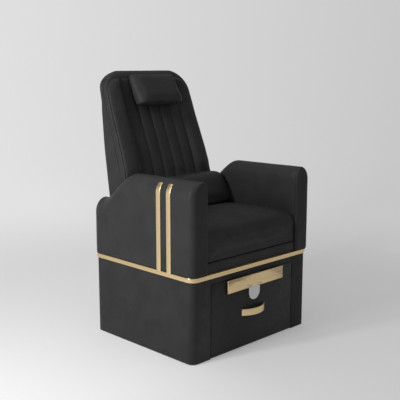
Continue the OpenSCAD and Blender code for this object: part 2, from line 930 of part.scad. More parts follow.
// Section of the rear cover at height z, drawn in by some distance
function cover_section(z, inset, reach) =
    let (
        h = back_half(z) - inset,
        y0 = back_front(z) + back_pad_t - reach,
        y1 = back_rear(z) - inset - round_fall(back_rear_roll, back_top - z),
        r = min(back_rear_r, (y1 - y0) * 0.7)
    )
    concat(
        [[-h, y0, z], [h, y0, z]],
        [for (a = [0:22.5:90]) [h - r + r * cos(a), y1 - r + r * sin(a), z]],
        [for (a = [90:22.5:180]) [-h + r + r * cos(a), y1 - r + r * sin(a), z]]
    );

cover_room_shares = [0, 0.2, 0.4, 0.6, 0.8, 0.89, 0.93, 0.96, 1];
cover_room_top = back_top - back_roll - clear;

module back_rear_cover() {
    color([0.07, 0.07, 0.07]) difference() {
        loft([for (s = back_z_shares) cover_section(back_z + back_h * s, 0, 0)]);
        loft([for (s = cover_room_shares)
            cover_section(mix(back_z - over, cover_room_top, s), cover_t, over)]);
    }
}

// Gap between the wall of the rear cover and the edges of the frame
frame_gap = 2.5;

module back_frame() {
    top = cover_room_top - clear;
    inset = cover_t + frame_gap;
    lean = tan(back_lean);
    x = back_half(back_z) - inset - back_foot_d / 6;
    y0 = back_front(back_z) + back_pad_t;
    outline = [for (s = cover_room_shares) let (z = mix(back_z, top, s)) [back_half(z) - inset, z]];
    color([0.7, 0.58, 0.42]) {
        intersection() {
            along_x(-back_foot_w, back_foot_w) polygon([
                [y0, back_z],
                [y0 + frame_t, back_z],
                [y0 + frame_t + (top - back_z) * lean, top],
                [y0 + (top - back_z) * lean, top]
            ]);
            along_y(back_y, back_rear(back_top)) polygon(concat(
                outline, [for (k = [len(outline) - 1:-1:0]) [-outline[k][0], outline[k][1]]]));
        }
        block([-x, y0 + frame_t / 2, back_z], [x, back_rear(back_z) - inset, back_z + frame_t]);
        for (side = [-1, 1]) translate([side * pivot_x - frame_t / 2, 0, 0]) along_x(0, frame_t)
            polygon([
                [y0 + frame_t / 2, back_z],
                [back_rear(back_z) - inset, back_z],
                [back_rear(back_z) - inset, back_z + frame_t],
                [y0 + frame_t + back_foot_d * lean, back_z + back_foot_d],
                [y0 + frame_t / 2 + back_foot_d * lean, back_z + back_foot_d]
            ]);
    }
}

// Place in Y and Z just in front of the back's face at height z
function on_back(z) = [back_front(z) - clear / cos(back_lean), z];

// Ring of a pillow at share u of its half length, a round shape stretched over four corners:
// the lower front, lower rear, upper rear and upper front one
function pillow_ring(u, half_w, corners, plump) =
    let (
        swell = pow(1 - pow(abs(u), 6), plump),
        flat = mix(0.8, 1, swell) * pow(swell, 0.4)
    )
    [for (a = [0:20:340]) let (
            deep = (1 + swell * sign(cos(a)) * pow(abs(cos(a)), 0.65)) / 2,
            high = (1 + flat * sign(sin(a)) * pow(abs(sin(a)), 0.65)) / 2,
            p = mix(mix(corners[0], corners[1], deep), mix(corners[3], corners[2], deep), high)
        )
        [u * half_w, p[0], p[1]]];

pillow_shares = [-0.999, -0.99, -0.96, -0.9, -0.78, -0.6, -0.3, 0, 0.3, 0.6, 0.78, 0.9, 0.96, 0.99, 0.999];

// How far the lumbar bolster's foot lies above the seam line where the seat dips
bolster_rise = 3.5;

head_low = back_top - head_drop - head_h / 2 * cos(back_lean);
head_high = head_low + head_h * cos(back_lean);
head_out = [-cos(back_lean), sin(back_lean)];
head_corners = [
    on_back(head_low) + head_low_t * head_out,
    on_back(head_low),
    on_back(head_high),
    on_back(head_high) + head_top_t * head_out
];

module head_pillow() {
    color([0.09, 0.09, 0.09])
        loft([for (u = pillow_shares) pillow_ring(u, head_w / 2, head_corners, 0.25)]);
}

bolster_foot = seat_z + seat_h - seat_dip + bolster_rise;
bolster_top = seat_z + seat_h + bolster_h;
bolster_corners = [
    on_back(bolster_foot) - [bolster_low_t, 0],
    on_back(bolster_foot - seat_dip),
    on_back(bolster_top),
    on_back(bolster_top) - [bolster_top_t, 0]
];

module lumbar_bolster() {
    color([0.09, 0.09, 0.09])
        loft([for (u = pillow_shares) pillow_ring(u, bolster_w / 2, bolster_corners, 0.18)]);
}

// Recline hinges

hinge_flange_w = 50;
hinge_half_d = 23;
hinge_screw_shares = [-0.6, 0.6];
leaf_x = pivot_x + plate_t + clear;

module hinge_screw_places() {
    for (side = [-1, 1], s = hinge_screw_shares)
        translate([side * (pivot_x - hinge_flange_w / 2), pivot_y + s * hinge_half_d, 0]) children();
}

// Plate that stands on the deck, with the eye at its top
module recline_bracket() {
    x0 = pivot_x - hinge_flange_w;
    y0 = pivot_y - hinge_half_d;
    y1 = pivot_y + hinge_half_d;
    difference() {
        union() {
            block([x0, y0, base_z], [pivot_x + plate_t, y1, base_z + plate_t]);
            block([pivot_x, pivot_y - eye_r, base_z], [pivot_x + plate_t, pivot_y + eye_r, pivot_z]);
            rod_x(pivot_x, pivot_x + plate_t, pivot_y, pivot_z, eye_r);
        }
        rod_x(pivot_x - over, pivot_x + plate_t + over, pivot_y, pivot_z, pin_r + run_gap);
        hinge_screw_places() rod_z(base_z - over, base_z + plate_t + over, 0, 0, screw_r + run_gap);
    }
}

// Plate under the back, with the eye at its foot
module recline_leaf() {
    x0 = pivot_x - hinge_flange_w;
    y0 = pivot_y - hinge_half_d;
    y1 = pivot_y + hinge_half_d;
    z0 = back_z - plate_t;
    difference() {
        union() {
            block([x0, y0, z0], [leaf_x + plate_t, y1, back_z]);
            block([leaf_x, pivot_y - eye_r, pivot_z], [leaf_x + plate_t, pivot_y + eye_r, back_z]);
            rod_x(leaf_x, leaf_x + plate_t, pivot_y, pivot_z, eye_r);
        }
        rod_x(leaf_x - over, leaf_x + plate_t + over, pivot_y, pivot_z, pin_r + run_gap);
        hinge_screw_places() rod_z(z0 - over, back_z + over, 0, 0, screw_r + run_gap);
    }
}

module recline_bracket_left() {
    color([0.3, 0.3, 0.3]) mirrored() recline_bracket();
}

module recline_bracket_right() {
    color([0.3, 0.3, 0.3]) recline_bracket();
}

module recline_leaf_left() {
    color([0.3, 0.3, 0.3]) mirrored() recline_leaf();
}

module recline_leaf_right() {
    color([0.3, 0.3, 0.3]) recline_leaf();
}

module recline_pins() {
    head_t = 2.5;
    head_r = pin_r * 1.6;
    x1 = leaf_x + plate_t + clear;
    color([0.7, 0.7, 0.72]) both_sides() {
        rod_x(pivot_x - clear, x1, pivot_y, pivot_z, pin_r);
        rod_x(pivot_x - clear - head_t, pivot_x - clear, pivot_y, pivot_z, head_r);
        rod_x(x1, x1 + head_t, pivot_y, pivot_z, head_r);
    }
}

// Screws that hold the brackets to the deck
module bracket_screws_deck() {
    z = base_z + plate_t;
    color([0.6, 0.6, 0.62]) hinge_screw_places() {
        rod_z(base_z, z, 0, 0, screw_r);
        rod_z(z, z + screw_head_h, 0, 0, screw_head_r);
    }
}

// Screws that hold the leaves to the back frame
module leaf_screws() {
    z = back_z - plate_t;
    color([0.6, 0.6, 0.62]) hinge_screw_places() {
        rod_z(z, back_z, 0, 0, screw_r);
        rod_z(z - screw_head_h, z, 0, 0, screw_head_r);
    }
}

plinth_left();
plinth_right();
plinth_rear();
plinth_header();
plinth_floor();
runner_board_left();
runner_board_right();
glides();
deck_board();
belt_trim();
arm_cover_left();
arm_cover_right();
arm_frame_left();
arm_frame_right();
arm_bolts();
trim_strips_left();
trim_strips_right();
seat_front_rail();
seat_deck();
seat_cushion();
rear_panel();
slide_outer_left();
slide_outer_right();
slide_screws_body();
recline_bracket_left();
recline_bracket_right();
recline_pins();
bracket_screws_deck();
slide_middle_left();
slide_middle_right();
drawer_front();
drawer_side_left();
drawer_side_right();
drawer_back();
drawer_bottom();
slide_inner_left();
slide_inner_right();
slide_screws_drawer();
drawer_handle();
handle_screws();
foot_basin();
basin_drain();
footrest_bracket();
footrest_screws();
footrest_pin();
footrest_plate();
back_frame();
back_cushion();
back_rear_cover();
head_pillow();
lumbar_bolster();
recline_leaf_left();
recline_leaf_right();
leaf_screws();
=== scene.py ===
import json
from math import asin, copysign, cos, exp, hypot, pi, radians, sin, sqrt, tan

import bmesh
import bpy
import numpy as np
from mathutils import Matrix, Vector, noise


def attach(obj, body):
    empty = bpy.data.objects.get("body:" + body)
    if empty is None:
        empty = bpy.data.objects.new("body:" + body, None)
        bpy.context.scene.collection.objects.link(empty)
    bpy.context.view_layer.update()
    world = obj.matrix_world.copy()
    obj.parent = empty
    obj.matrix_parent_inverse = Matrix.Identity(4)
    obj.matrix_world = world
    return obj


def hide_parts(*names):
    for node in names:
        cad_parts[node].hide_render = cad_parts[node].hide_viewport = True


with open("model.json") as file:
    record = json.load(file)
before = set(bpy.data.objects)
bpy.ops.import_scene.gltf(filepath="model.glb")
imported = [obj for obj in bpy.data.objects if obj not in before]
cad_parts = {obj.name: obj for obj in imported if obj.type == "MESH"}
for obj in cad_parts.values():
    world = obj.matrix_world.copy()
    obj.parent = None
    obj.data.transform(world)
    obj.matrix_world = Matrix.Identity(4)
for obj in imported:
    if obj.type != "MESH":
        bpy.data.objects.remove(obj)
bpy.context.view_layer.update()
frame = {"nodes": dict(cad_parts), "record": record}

# Lengths in this script are millimetres, as in the part's own source; MM turns them into metres
MM = 0.001

# Sizes taken from the solids

FRONT_Y, REAR_Y = -332.5, 332.5
BODY_D = REAR_Y - FRONT_Y
BODY_W, CORNER_R, BOARD_T = 780, 34, 18
GLIDE_H, PLINTH_H, BASE_Z = 3, 368, 388
OPEN_X = 279
ARM_IN, ARM_OUT, ARM_FRONT, ARM_REAR = 299, 398, -340.5, 340.5
ARM_TOP, ARM_SAG, ARM_FRONT_R, ARM_REAR_R, ARM_EDGE_R = 794, 6, 30, 46, 8
ARM_INNER_R, ARM_INNER_H, ARM_OUTER_R = 34, 56, 65
SHOULDER_START, SHOULDER_LEN, SHOULDER_DROP, SHOULDER_R = 395, 240, 135, 25
STRIP_W, STRIP_GAP, STRIP_MID, STRIP_PROUD, STRIP_BEND = 26, 38, 176.5, 3, 44
SEAT_Y, SEAT_Z, SEAT_TOP, SEAT_HALF = -328.5, 436.3, 588.3, 298.7
BACK_Y, BACK_Z, BACK_TOP = 121.5, 460, 1240
LEAN, REAR_LEAN = tan(radians(19.3)), tan(radians(10))
BACK_FOOT_HALF, BACK_TAPER, BACK_CORNER_R = 297, 26 / 780, 106
REAR_CORNER_W, REAR_CORNER_H = 135, 78
BACK_FOOT_D, PAD_T, PAD_TOP_T = 194, 36, 25
CHANNEL_HALF, CHANNEL_D, CHANNELS = 173.75, 8, 5
HEAD_W, HEAD_H, HEAD_LOW_T, HEAD_TOP_T, HEAD_DROP = 290, 160, 94, 50, 100
BOLSTER_W, BOLSTER_Z, BOLSTER_TOP_Z, BOLSTER_LOW_T, BOLSTER_TOP_T = 592, 580.8, 738.3, 120, 86


def mix(a, b, t):
    return a + (b - a) * t


def clamp(value, low=0.0, high=1.0):
    return max(low, min(high, value))


def ease(t):
    t = clamp(t)
    return t * t * (3 - 2 * t)


def round_fall(r, d):
    """How far a quarter-round edge of radius r falls back at distance d from its end."""
    return 0.0 if d >= r else r - sqrt(max(0.0, r * r - (r - d) ** 2))


def arc(cx, cy, r, angles):
    """Points of a circle at angles in degrees."""
    return [(cx + r * cos(radians(a)), cy + r * sin(radians(a))) for a in angles]


def stations(low, high, end_r, step):
    """Places from low to high, crowded towards both ends, where edges of radius end_r turn."""
    turn = [end_r * (1 - cos(radians(a))) for a in range(0, 91, 9)]
    count = max(1, round((high - low - 2 * end_r) / step))
    middle = [mix(low + end_r, high - end_r, k / count) for k in range(1, count)]
    return [low + t for t in turn] + middle + [high - t for t in reversed(turn)]


# Meshes

def link(name, data):
    """A new object at the origin, in the scene."""
    obj = bpy.data.objects.new(name, data)
    bpy.context.scene.collection.objects.link(obj)
    return obj


def shade(obj, smooth=True):
    obj.data.polygons.foreach_set("use_smooth", [smooth] * len(obj.data.polygons))


def face_out(obj):
    """Joins points that coincide and turns every face outwards."""
    bm = bmesh.new()
    bm.from_mesh(obj.data)
    bmesh.ops.remove_doubles(bm, verts=bm.verts, dist=1e-6)
    bmesh.ops.recalc_face_normals(bm, faces=bm.faces)
    bm.to_mesh(obj.data)
    bm.free()


def add_mesh(name, points, faces, smooth=True):
    """A closed mesh from points in millimetres, with its faces turned outwards."""
    mesh = bpy.data.meshes.new(name)
    mesh.from_pydata([(x * MM, y * MM, z * MM) for x, y, z in points], [], faces)
    mesh.validate()
    obj = link(name, mesh)
    shade(obj, smooth)
    face_out(obj)
    return obj


def bands(rows, n, first=0):
    """Faces between rows of n points, each row closed, from the point numbered first."""
    return [(first + i * n + j, first + i * n + (j + 1) % n, first + (i + 1) * n + (j + 1) % n,
             first + (i + 1) * n + j) for i in range(rows - 1) for j in range(n)]


def loft(name, rings, cap_steps):
    """Closed skin over a row of rings, with each end filled by rings that shrink to its middle."""
    n = len(rings[0])

    def shrunk(ring):
        mid = [sum(p[k] for p in ring) / n for k in range(3)]
        inner = [[tuple(mix(p[k], mid[k], (s + 1) / cap_steps) for k in range(3)) for p in ring]
                 for s in range(cap_steps - 1)]
        return inner, tuple(mid)

    first, first_mid = shrunk(rings[0])
    last, last_mid = shrunk(rings[-1])
    every = list(reversed(first)) + rings + last
    points = [p for ring in every for p in ring] + [first_mid, last_mid]
    faces = bands(len(every), n)
    tail = (len(every) - 1) * n
    mids = len(every) * n
    for j in range(n):
        faces.append((mids, (j + 1) % n, j))
        faces.append((mids + 1, tail + j, tail + (j + 1) % n))
    return add_mesh(name, points, faces)


def prism(name, outline, low, high, axis):
    """Straight prism of an outline along one axis. The outline gives the other two, in order."""
    points = [(*p[:axis], place, *p[axis:]) for place in (low, high) for p in outline]
    n = len(outline)
    faces = [(j, (j + 1) % n, n + (j + 1) % n, n + j) for j in range(n)]
    faces += [tuple(range(n)), tuple(range(2 * n - 1, n - 1, -1))]
    return add_mesh(name, points, faces, False)


def eased_edges(obj, width, segments=3, angle=35):
    """Rounds the edges sharper than the angle, in degrees, and keeps the faces between them flat."""
    bevel = obj.modifiers.new("eased edges", "BEVEL")
    bevel.width = width * MM
    bevel.segments = segments
    bevel.limit_method = "ANGLE"
    bevel.angle_limit = radians(angle)
    bevel.harden_normals = True
    settle(obj)
    shade(obj)
    return obj


def settle(obj):
    """Turns what the modifiers make into the plain mesh of the object."""
    graph = bpy.context.evaluated_depsgraph_get()
    graph.update()
    mesh = bpy.data.meshes.new_from_object(obj.evaluated_get(graph))
    old = obj.data
    obj.modifiers.clear()
    obj.data = mesh
    mesh.name = obj.name
    bpy.data.meshes.remove(old)


def of_points(mesh, key="co"):
    """A value of three numbers, the place or the normal, for each point of a mesh."""
    values = np.empty(len(mesh.vertices) * 3)
    mesh.vertices.foreach_get(key, values)
    return values.reshape(-1, 3)


def set_coordinates(mesh, values):
    mesh.vertices.foreach_set("co", np.ascontiguousarray(values).ravel())
    mesh.update()


def reshape(obj, move):
    """Moves each point of a mesh by move(x, y, z, normal), all in millimetres."""
    places = of_points(obj.data) / MM
    out = np.array([move(*p, n) for p, n in zip(places, of_points(obj.data, "normal"))])
    set_coordinates(obj.data, (places + out) * MM)


def ripple(x, y, z, size, seed):
    """Smooth random value, about -1 to 1, that wanders over waves of so many millimetres."""
    return noise.noise(Vector((x / size + seed, y / size - seed, z / size + 2 * seed)))


PRESSURE, FRAMES = 4.0, 20


def stuff(obj, voxel, cap, hold):
    """Blows a cushion up as a cloth, then keeps its swelling under cap, times hold(x, y, z)."""
    remesh = obj.modifiers.new("even skin", "REMESH")
    remesh.mode = "VOXEL"
    remesh.voxel_size = voxel * MM
    remesh.use_smooth_shade = True
    settle(obj)
    before = of_points(obj.data)
    cloth = obj.modifiers.new("filling", "CLOTH")
    skin = cloth.settings
    skin.quality = 4
    skin.mass = 0.3
    skin.tension_stiffness = 12
    skin.compression_stiffness = 12
    skin.shear_stiffness = 4
    skin.bending_stiffness = 0.6
    skin.use_pressure = True
    skin.uniform_pressure_force = PRESSURE
    skin.effector_weights.gravity = 0
    cloth.collision_settings.use_collision = False
    cloth.point_cache.frame_start = 1
    cloth.point_cache.frame_end = FRAMES
    scene = bpy.context.scene
    for k in range(1, FRAMES + 1):
        scene.frame_set(k)
    graph = bpy.context.evaluated_depsgraph_get()
    shape = obj.evaluated_get(graph).to_mesh()
    after = of_points(shape)
    obj.evaluated_get(graph).to_mesh_clear()
    obj.modifiers.clear()
    scene.frame_set(1)
    moved = after - before
    far = np.linalg.norm(moved, axis=1)
    limit = np.array([cap * MM * hold(*(p / MM)) for p in before])
    moved *= (limit * np.tanh(far / np.maximum(limit, 1e-9)) / np.maximum(far, 1e-9))[:, None]
    set_coordinates(obj.data, before + moved)


def subdivide(obj):
    sub = obj.modifiers.new("smooth", "SUBSURF")
    sub.levels = sub.render_levels = 1
    settle(obj)
    shade(obj)


# Materials

def ranged(nodes, links, value, source, target, smooth=False):
    """Carries a value from one range over to another."""
    node = nodes.new("ShaderNodeMapRange")
    if smooth:
        node.interpolation_type = "SMOOTHSTEP"
    for end, number in zip(("From Min", "From Max", "To Min", "To Max"), (*source, *target)):
        node.inputs[end].default_value = number
    links.new(value, node.inputs["Value"])
    return node.outputs["Result"]


class Finish:
    """A material with its nodes. Every pattern reads Object coordinates, in metres."""

    def __init__(self, name):
        self.material = bpy.data.materials.new(name)
        self.material.use_nodes = True
        self.nodes = self.material.node_tree.nodes
        self.links = self.material.node_tree.links
        self.shader = self.nodes["Principled BSDF"]
        self.place = self.nodes.new("ShaderNodeTexCoord").outputs["Object"]

    def set(self, **values):
        for key, value in values.items():
            self.shader.inputs[key.replace("_", " ")].default_value = value

    def pattern(self, kind, vector=None, **values):
        """Outputs of a node that reads the place, or another vector, with its inputs set."""
        node = self.nodes.new(kind)
        for key, value in values.items():
            node.inputs[key].default_value = value
        self.links.new(vector or self.place, node.inputs["Vector"])
        return node.outputs

    def stretched(self, scale):
        return self.pattern("ShaderNodeMapping", Scale=scale)["Vector"]

    def noise(self, scale, detail, rough=0.5, vector=None):
        return self.pattern("ShaderNodeTexNoise", vector, Scale=scale, Detail=detail,
                            Roughness=rough)["Fac"]

    def cells(self, scale):
        return self.pattern("ShaderNodeTexVoronoi", Scale=scale)["Distance"]

    def colour(self, value, dark, light, from_low=0.35, from_high=0.65):
        node = self.nodes.new("ShaderNodeValToRGB")
        for k, place, tone in ((0, from_low, dark), (1, from_high, light)):
            node.color_ramp.elements[k].position = place
            node.color_ramp.elements[k].color = (*tone, 1)
        self.links.new(value, node.inputs["Fac"])
        self.links.new(node.outputs["Color"], self.shader.inputs["Base Color"])

    def roughness(self, value, low, high):
        result = ranged(self.nodes, self.links, value, (0.3, 0.7), (low, high))
        self.links.new(result, self.shader.inputs["Roughness"])

    def bump(self, value, strength, depth):
        """Adds one layer of relief, depth in millimetres, over those added before."""
        node = self.nodes.new("ShaderNodeBump")
        node.inputs["Strength"].default_value = strength
        node.inputs["Distance"].default_value = depth * MM
        self.links.new(value, node.inputs["Height"])
        normal = self.shader.inputs["Normal"]
        if normal.is_linked:
            self.links.new(normal.links[0].from_socket, node.inputs["Normal"])
        self.links.new(node.outputs["Normal"], normal)


def leather(name, dark, light, rough_low, rough_high, grain=0.22):
    """Leatherette: broad unevenness, the pebbled grain and its pores."""
    f = Finish(name)
    f.set(Specular_IOR_Level=0.10)
    f.colour(f.noise(11, 4, 0.6), dark, light)
    f.roughness(f.noise(34, 3, 0.6), rough_low, rough_high)
    f.bump(f.noise(42, 3, 0.55), 0.25, 0.9)
    f.bump(f.cells(820), grain, 0.22)
    f.bump(f.noise(1500, 1, 0.5), 0.10, 0.08)
    return f.material


def brushed(name, dark, light, scale, rough_low, rough_high, streak=0.12):
    """Metal with fine streaks, long where scale is small, over a slightly uneven face."""
    f = Finish(name)
    f.set(Metallic=1.0)
    streaks = f.noise(1.0, 3, 0.7, f.stretched(scale))
    f.colour(streaks, dark, light, 0.25, 0.75)
    f.roughness(streaks, rough_low, rough_high)
    f.bump(streaks, streak, 0.05)
    f.bump(f.noise(14, 2, 0.5), 0.05, 0.4)
    return f.material


def wood(name, dark, light):
    """Bare board with its grain along X."""
    f = Finish(name)
    f.set(Specular_IOR_Level=0.3)
    grain = f.noise(1.0, 4, 0.62, f.stretched((5, 90, 90)))
    f.colour(grain, dark, light, 0.3, 0.7)
    f.roughness(grain, 0.55, 0.72)
    f.bump(grain, 0.2, 0.25)
    return f.material


def moulded(name, dark, light, rough_low, rough_high, grain, coat=0.0):
    """Plastic, paint or thread with a faint grain, under a clear coat where coat is above 0."""
    f = Finish(name)
    f.set(Coat_Weight=coat, Coat_Roughness=0.08)
    f.colour(f.noise(18, 3, 0.5), dark, light)
    f.roughness(f.noise(60, 2, 0.5), rough_low, rough_high)
    f.bump(f.noise(grain, 2, 0.5), 0.12, 0.1)
    return f.material


def grey(tone):
    return tone, tone, tone


LEATHERETTE = leather("black leatherette", grey(0.031), grey(0.038), 0.42, 0.54)
PANEL_LEATHER = leather("black panel leatherette", grey(0.029), grey(0.036), 0.42, 0.54, 0.18)
PIPING_LEATHER = leather("black piping", grey(0.023), grey(0.030), 0.36, 0.46, 0.12)
THREAD = moulded("black thread", grey(0.018), grey(0.035), 0.5, 0.65, 4000)
GOLD_ALONG = brushed("brushed gold along its length", (0.70, 0.52, 0.27), (0.84, 0.65, 0.38),
                     (7, 7, 700), 0.24, 0.38)
# The same gold streaked upright for the arm strips, its colour a little lighter than GOLD_ALONG as
# painted light on the strips' lit side
GOLD_UP_PAINTED_LIGHTER = brushed("brushed gold, upright, painted lighter", (0.72, 0.55, 0.30), (0.86, 0.68, 0.41),
                  (700, 700, 7), 0.24, 0.38)
SLOT_FINISH = {
    "leatherette": LEATHERETTE, "plinth_black": PANEL_LEATHER, "gold_metal": GOLD_ALONG,
    "grey_bracket": brushed("grey painted metal", grey(0.58), (0.70, 0.70, 0.69), (240, 240, 9),
                            0.34, 0.46),
    "board": wood("plywood", (0.34, 0.20, 0.10), (0.56, 0.38, 0.21)),
    "drawer_board": moulded("pale melamine board", (0.60, 0.60, 0.57), (0.70, 0.70, 0.67),
                            0.38, 0.5, 900),
    "slide_steel": brushed("zinc plated slide", (0.42, 0.42, 0.44), (0.60, 0.60, 0.62), (300, 8, 300),
                           0.28, 0.42),
    "screw_steel": brushed("screw steel", (0.36, 0.36, 0.38), (0.52, 0.52, 0.54), (500, 500, 60),
                           0.3, 0.45),
    "basin_acrylic": moulded("white basin acrylic", (0.76, 0.76, 0.75), (0.82, 0.82, 0.81),
                             0.12, 0.2, 300, 0.4),
    "drain_chrome": brushed("drain chrome", (0.70, 0.70, 0.72), (0.80, 0.80, 0.82), (200, 200, 200),
                            0.08, 0.16, 0.03),
    "glide_plastic": moulded("black glide plastic", grey(0.02), grey(0.04), 0.45, 0.6, 2000),
    "hinge_steel": moulded("black painted hinge steel", (0.015, 0.015, 0.016), (0.03, 0.03, 0.032),
                           0.32, 0.48, 1500),
}
for part in frame["record"]["subparts"]:
    node_mesh = frame["nodes"][part["node"]].data
    node_mesh.materials.clear()
    node_mesh.materials.append(SLOT_FINISH[part["material_slot"]])


def dress(obj, material, slot, body, *nodes):
    """Gives a finished piece its material and its body, and hides the nodes that it stands for. The
    slot is not used.
    """
    if material:
        obj.data.materials.clear()
        obj.data.materials.append(material)
    if nodes:
        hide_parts(*nodes)
    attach(obj, body)


# Piping and stitches that follow a line

def node_tree(name, *inputs):
    """An empty tree of geometry nodes with named inputs, and the keys that set them."""
    tree = bpy.data.node_groups.new(name, "GeometryNodeTree")
    tree.interface.new_socket("Geometry", in_out="INPUT", socket_type="NodeSocketGeometry")
    keys = {}
    for label, kind in inputs:
        keys[label] = tree.interface.new_socket(label, in_out="INPUT", socket_type=kind).identifier
    tree.interface.new_socket("Geometry", in_out="OUTPUT", socket_type="NodeSocketGeometry")
    return tree, keys, tree.nodes.new("NodeGroupInput"), tree.nodes.new("NodeGroupOutput")


def wire(tree, *links):
    """Joins sockets. Each link is a node, its output, the next node and its input."""
    for source, output, target, entry in links:
        tree.links.new(source.outputs[output], target.inputs[entry])


def piping_tree():
    """A round cord laid along each line."""
    tree, keys, start, end = node_tree(
        "piping", ("Radius", "NodeSocketFloat"), ("Spacing", "NodeSocketFloat"),
        ("Cover", "NodeSocketMaterial"))
    add = tree.nodes.new
    curve, even = add("GeometryNodeMeshToCurve"), add("GeometryNodeResampleCurve")
    ring, sweep = add("GeometryNodeCurvePrimitiveCircle"), add("GeometryNodeCurveToMesh")
    real, smooth = add("GeometryNodeRealizeInstances"), add("GeometryNodeSetShadeSmooth")
    paint = add("GeometryNodeSetMaterial")
    even.mode = "LENGTH"
    ring.inputs["Resolution"].default_value = 10
    sweep.inputs["Fill Caps"].default_value = True
    wire(tree, (start, "Geometry", curve, "Mesh"), (curve, "Curve", even, "Curve"),
         (start, "Spacing", even, "Length"), (start, "Radius", ring, "Radius"),
         (even, "Curve", sweep, "Curve"), (ring, "Curve", sweep, "Profile Curve"),
         (sweep, "Mesh", real, "Geometry"), (real, "Geometry", smooth, "Geometry"),
         (smooth, "Geometry", paint, "Geometry"), (start, "Cover", paint, "Material"),
         (paint, "Geometry", end, "Geometry"))
    return tree, keys


def stitch_tree():
    """Short threads laid end to end along each line, one every Pitch."""
    tree, keys, start, end = node_tree(
        "stitches", ("Pitch", "NodeSocketFloat"), ("Length", "NodeSocketFloat"),
        ("Radius", "NodeSocketFloat"), ("Thread", "NodeSocketMaterial"))
    add = tree.nodes.new
    curve, even = add("GeometryNodeMeshToCurve"), add("GeometryNodeResampleCurve")
    thread, along = add("GeometryNodeMeshCylinder"), add("GeometryNodeInputTangent")
    turn, place = add("FunctionNodeAlignRotationToVector"), add("GeometryNodeInstanceOnPoints")
    real, paint = add("GeometryNodeRealizeInstances"), add("GeometryNodeSetMaterial")
    even.mode = "LENGTH"
    turn.axis = "Z"
    thread.inputs["Vertices"].default_value = 6
    wire(tree, (start, "Geometry", curve, "Mesh"), (curve, "Curve", even, "Curve"),
         (start, "Pitch", even, "Length"), (start, "Radius", thread, "Radius"),
         (start, "Length", thread, "Depth"), (along, "Tangent", turn, "Vector"),
         (even, "Curve", place, "Points"), (thread, "Mesh", place, "Instance"),
         (turn, "Rotation", place, "Rotation"), (place, "Instances", real, "Geometry"),
         (real, "Geometry", paint, "Geometry"), (start, "Thread", paint, "Material"),
         (paint, "Geometry", end, "Geometry"))
    return tree, keys


PIPING, STITCHES = piping_tree(), stitch_tree()


def run_along(name, line, tree_and_keys, **values):
    """A plain mesh of what the tree lays along a line, given in millimetres."""
    tree, keys = tree_and_keys
    mesh = bpy.data.meshes.new(name)
    mesh.from_pydata([(x * MM, y * MM, z * MM) for x, y, z in line],
                     [(k, k + 1) for k in range(len(line) - 1)], [])
    obj = link(name, mesh)
    modifier = obj.modifiers.new("along the seam", "NODES")
    modifier.node_group = tree
    for key, value in values.items():
        modifier[keys[key]] = value
    settle(obj)
    return obj


# Plinth, belt, drawer front, handle and foot plate

def outline_side(inset, x_from, steps=14):
    """Line of the footprint's right half from its front end at x_from to its rear end."""
    half_w, half_d, r = BODY_W / 2 - inset, REAR_Y - inset, CORNER_R - inset
    line = [(x_from, -half_d)]
    for start, cy in ((-90, r - half_d), (0, half_d - r)):
        line += arc(half_w - r, cy, r, [start + 90 * k / steps for k in range(steps + 1)])
    return line + [(x_from, half_d)]


def named(side, name):
    """A name with its side at the end. Side is -1 on the left and 1 on the right."""
    return name + ("_right" if side > 0 else "_left")


def plinth_shell(side):
    """Side panel of the plinth with its rounded corners and its front and rear posts."""
    outer = outline_side(0, OPEN_X)
    inner = outline_side(BOARD_T, OPEN_X)
    outline = [(side * x, y) for x, y in outer + inner[::-1]]
    shell = eased_edges(prism(named(side, "plinth_shell"), outline, GLIDE_H, PLINTH_H, 2), 2.0)
    dress(shell, PANEL_LEATHER, "plinth_black", "body", named(side, "plinth"))


def belt():
    """The metal belt, a ring with eased outer edges."""
    proud, let, ease_r = 5, 5, 1.6
    section = [(-let, PLINTH_H), (-let, BASE_Z)]
    section += arc(proud - ease_r, BASE_Z - ease_r, ease_r, (90, 60, 30, 0))
    section += arc(proud - ease_r, PLINTH_H + ease_r, ease_r, (0, -30, -60, -90))
    rings = []
    for out, z in section:
        right = outline_side(-out, 0)[1:-1]
        left = [(-x, y) for x, y in reversed(right)]
        rings.append([(x, y, z) for x, y in right + left])
    n = len(rings[0])
    points = [p for ring in rings for p in ring]
    m = len(rings)
    faces = [(i * n + j, ((i + 1) % m) * n + j, ((i + 1) % m) * n + (j + 1) % n, i * n + (j + 1) % n)
             for i in range(m) for j in range(n)]
    obj = add_mesh("gold_belt", points, faces)
    mark_sharp(obj, 30)
    dress(obj, GOLD_ALONG, "gold_metal", "body", "belt_trim")


def mark_sharp(obj, angle):
    """Keeps edges sharper than the angle crisp on a smooth mesh."""
    bm = bmesh.new()
    bm.from_mesh(obj.data)
    for edge in bm.edges:
        edge.smooth = len(edge.link_faces) == 2 and edge.calc_face_angle(0) < radians(angle)
    bm.to_mesh(obj.data)
    bm.free()


for side in (-1, 1):
    plinth_shell(side)
belt()

DRAWER_HALF, DRAWER_LOW, DRAWER_HIGH, BOX_Y = 276, 6, 339, -314.5
drawer_face = prism("drawer_face", [(-DRAWER_HALF, DRAWER_LOW), (DRAWER_HALF, DRAWER_LOW),
                                    (DRAWER_HALF, DRAWER_HIGH), (-DRAWER_HALF, DRAWER_HIGH)],
                    FRONT_Y, BOX_Y, 1)
dress(eased_edges(drawer_face, 2.2), PANEL_LEATHER, "plinth_black", "drawer", "drawer_front")


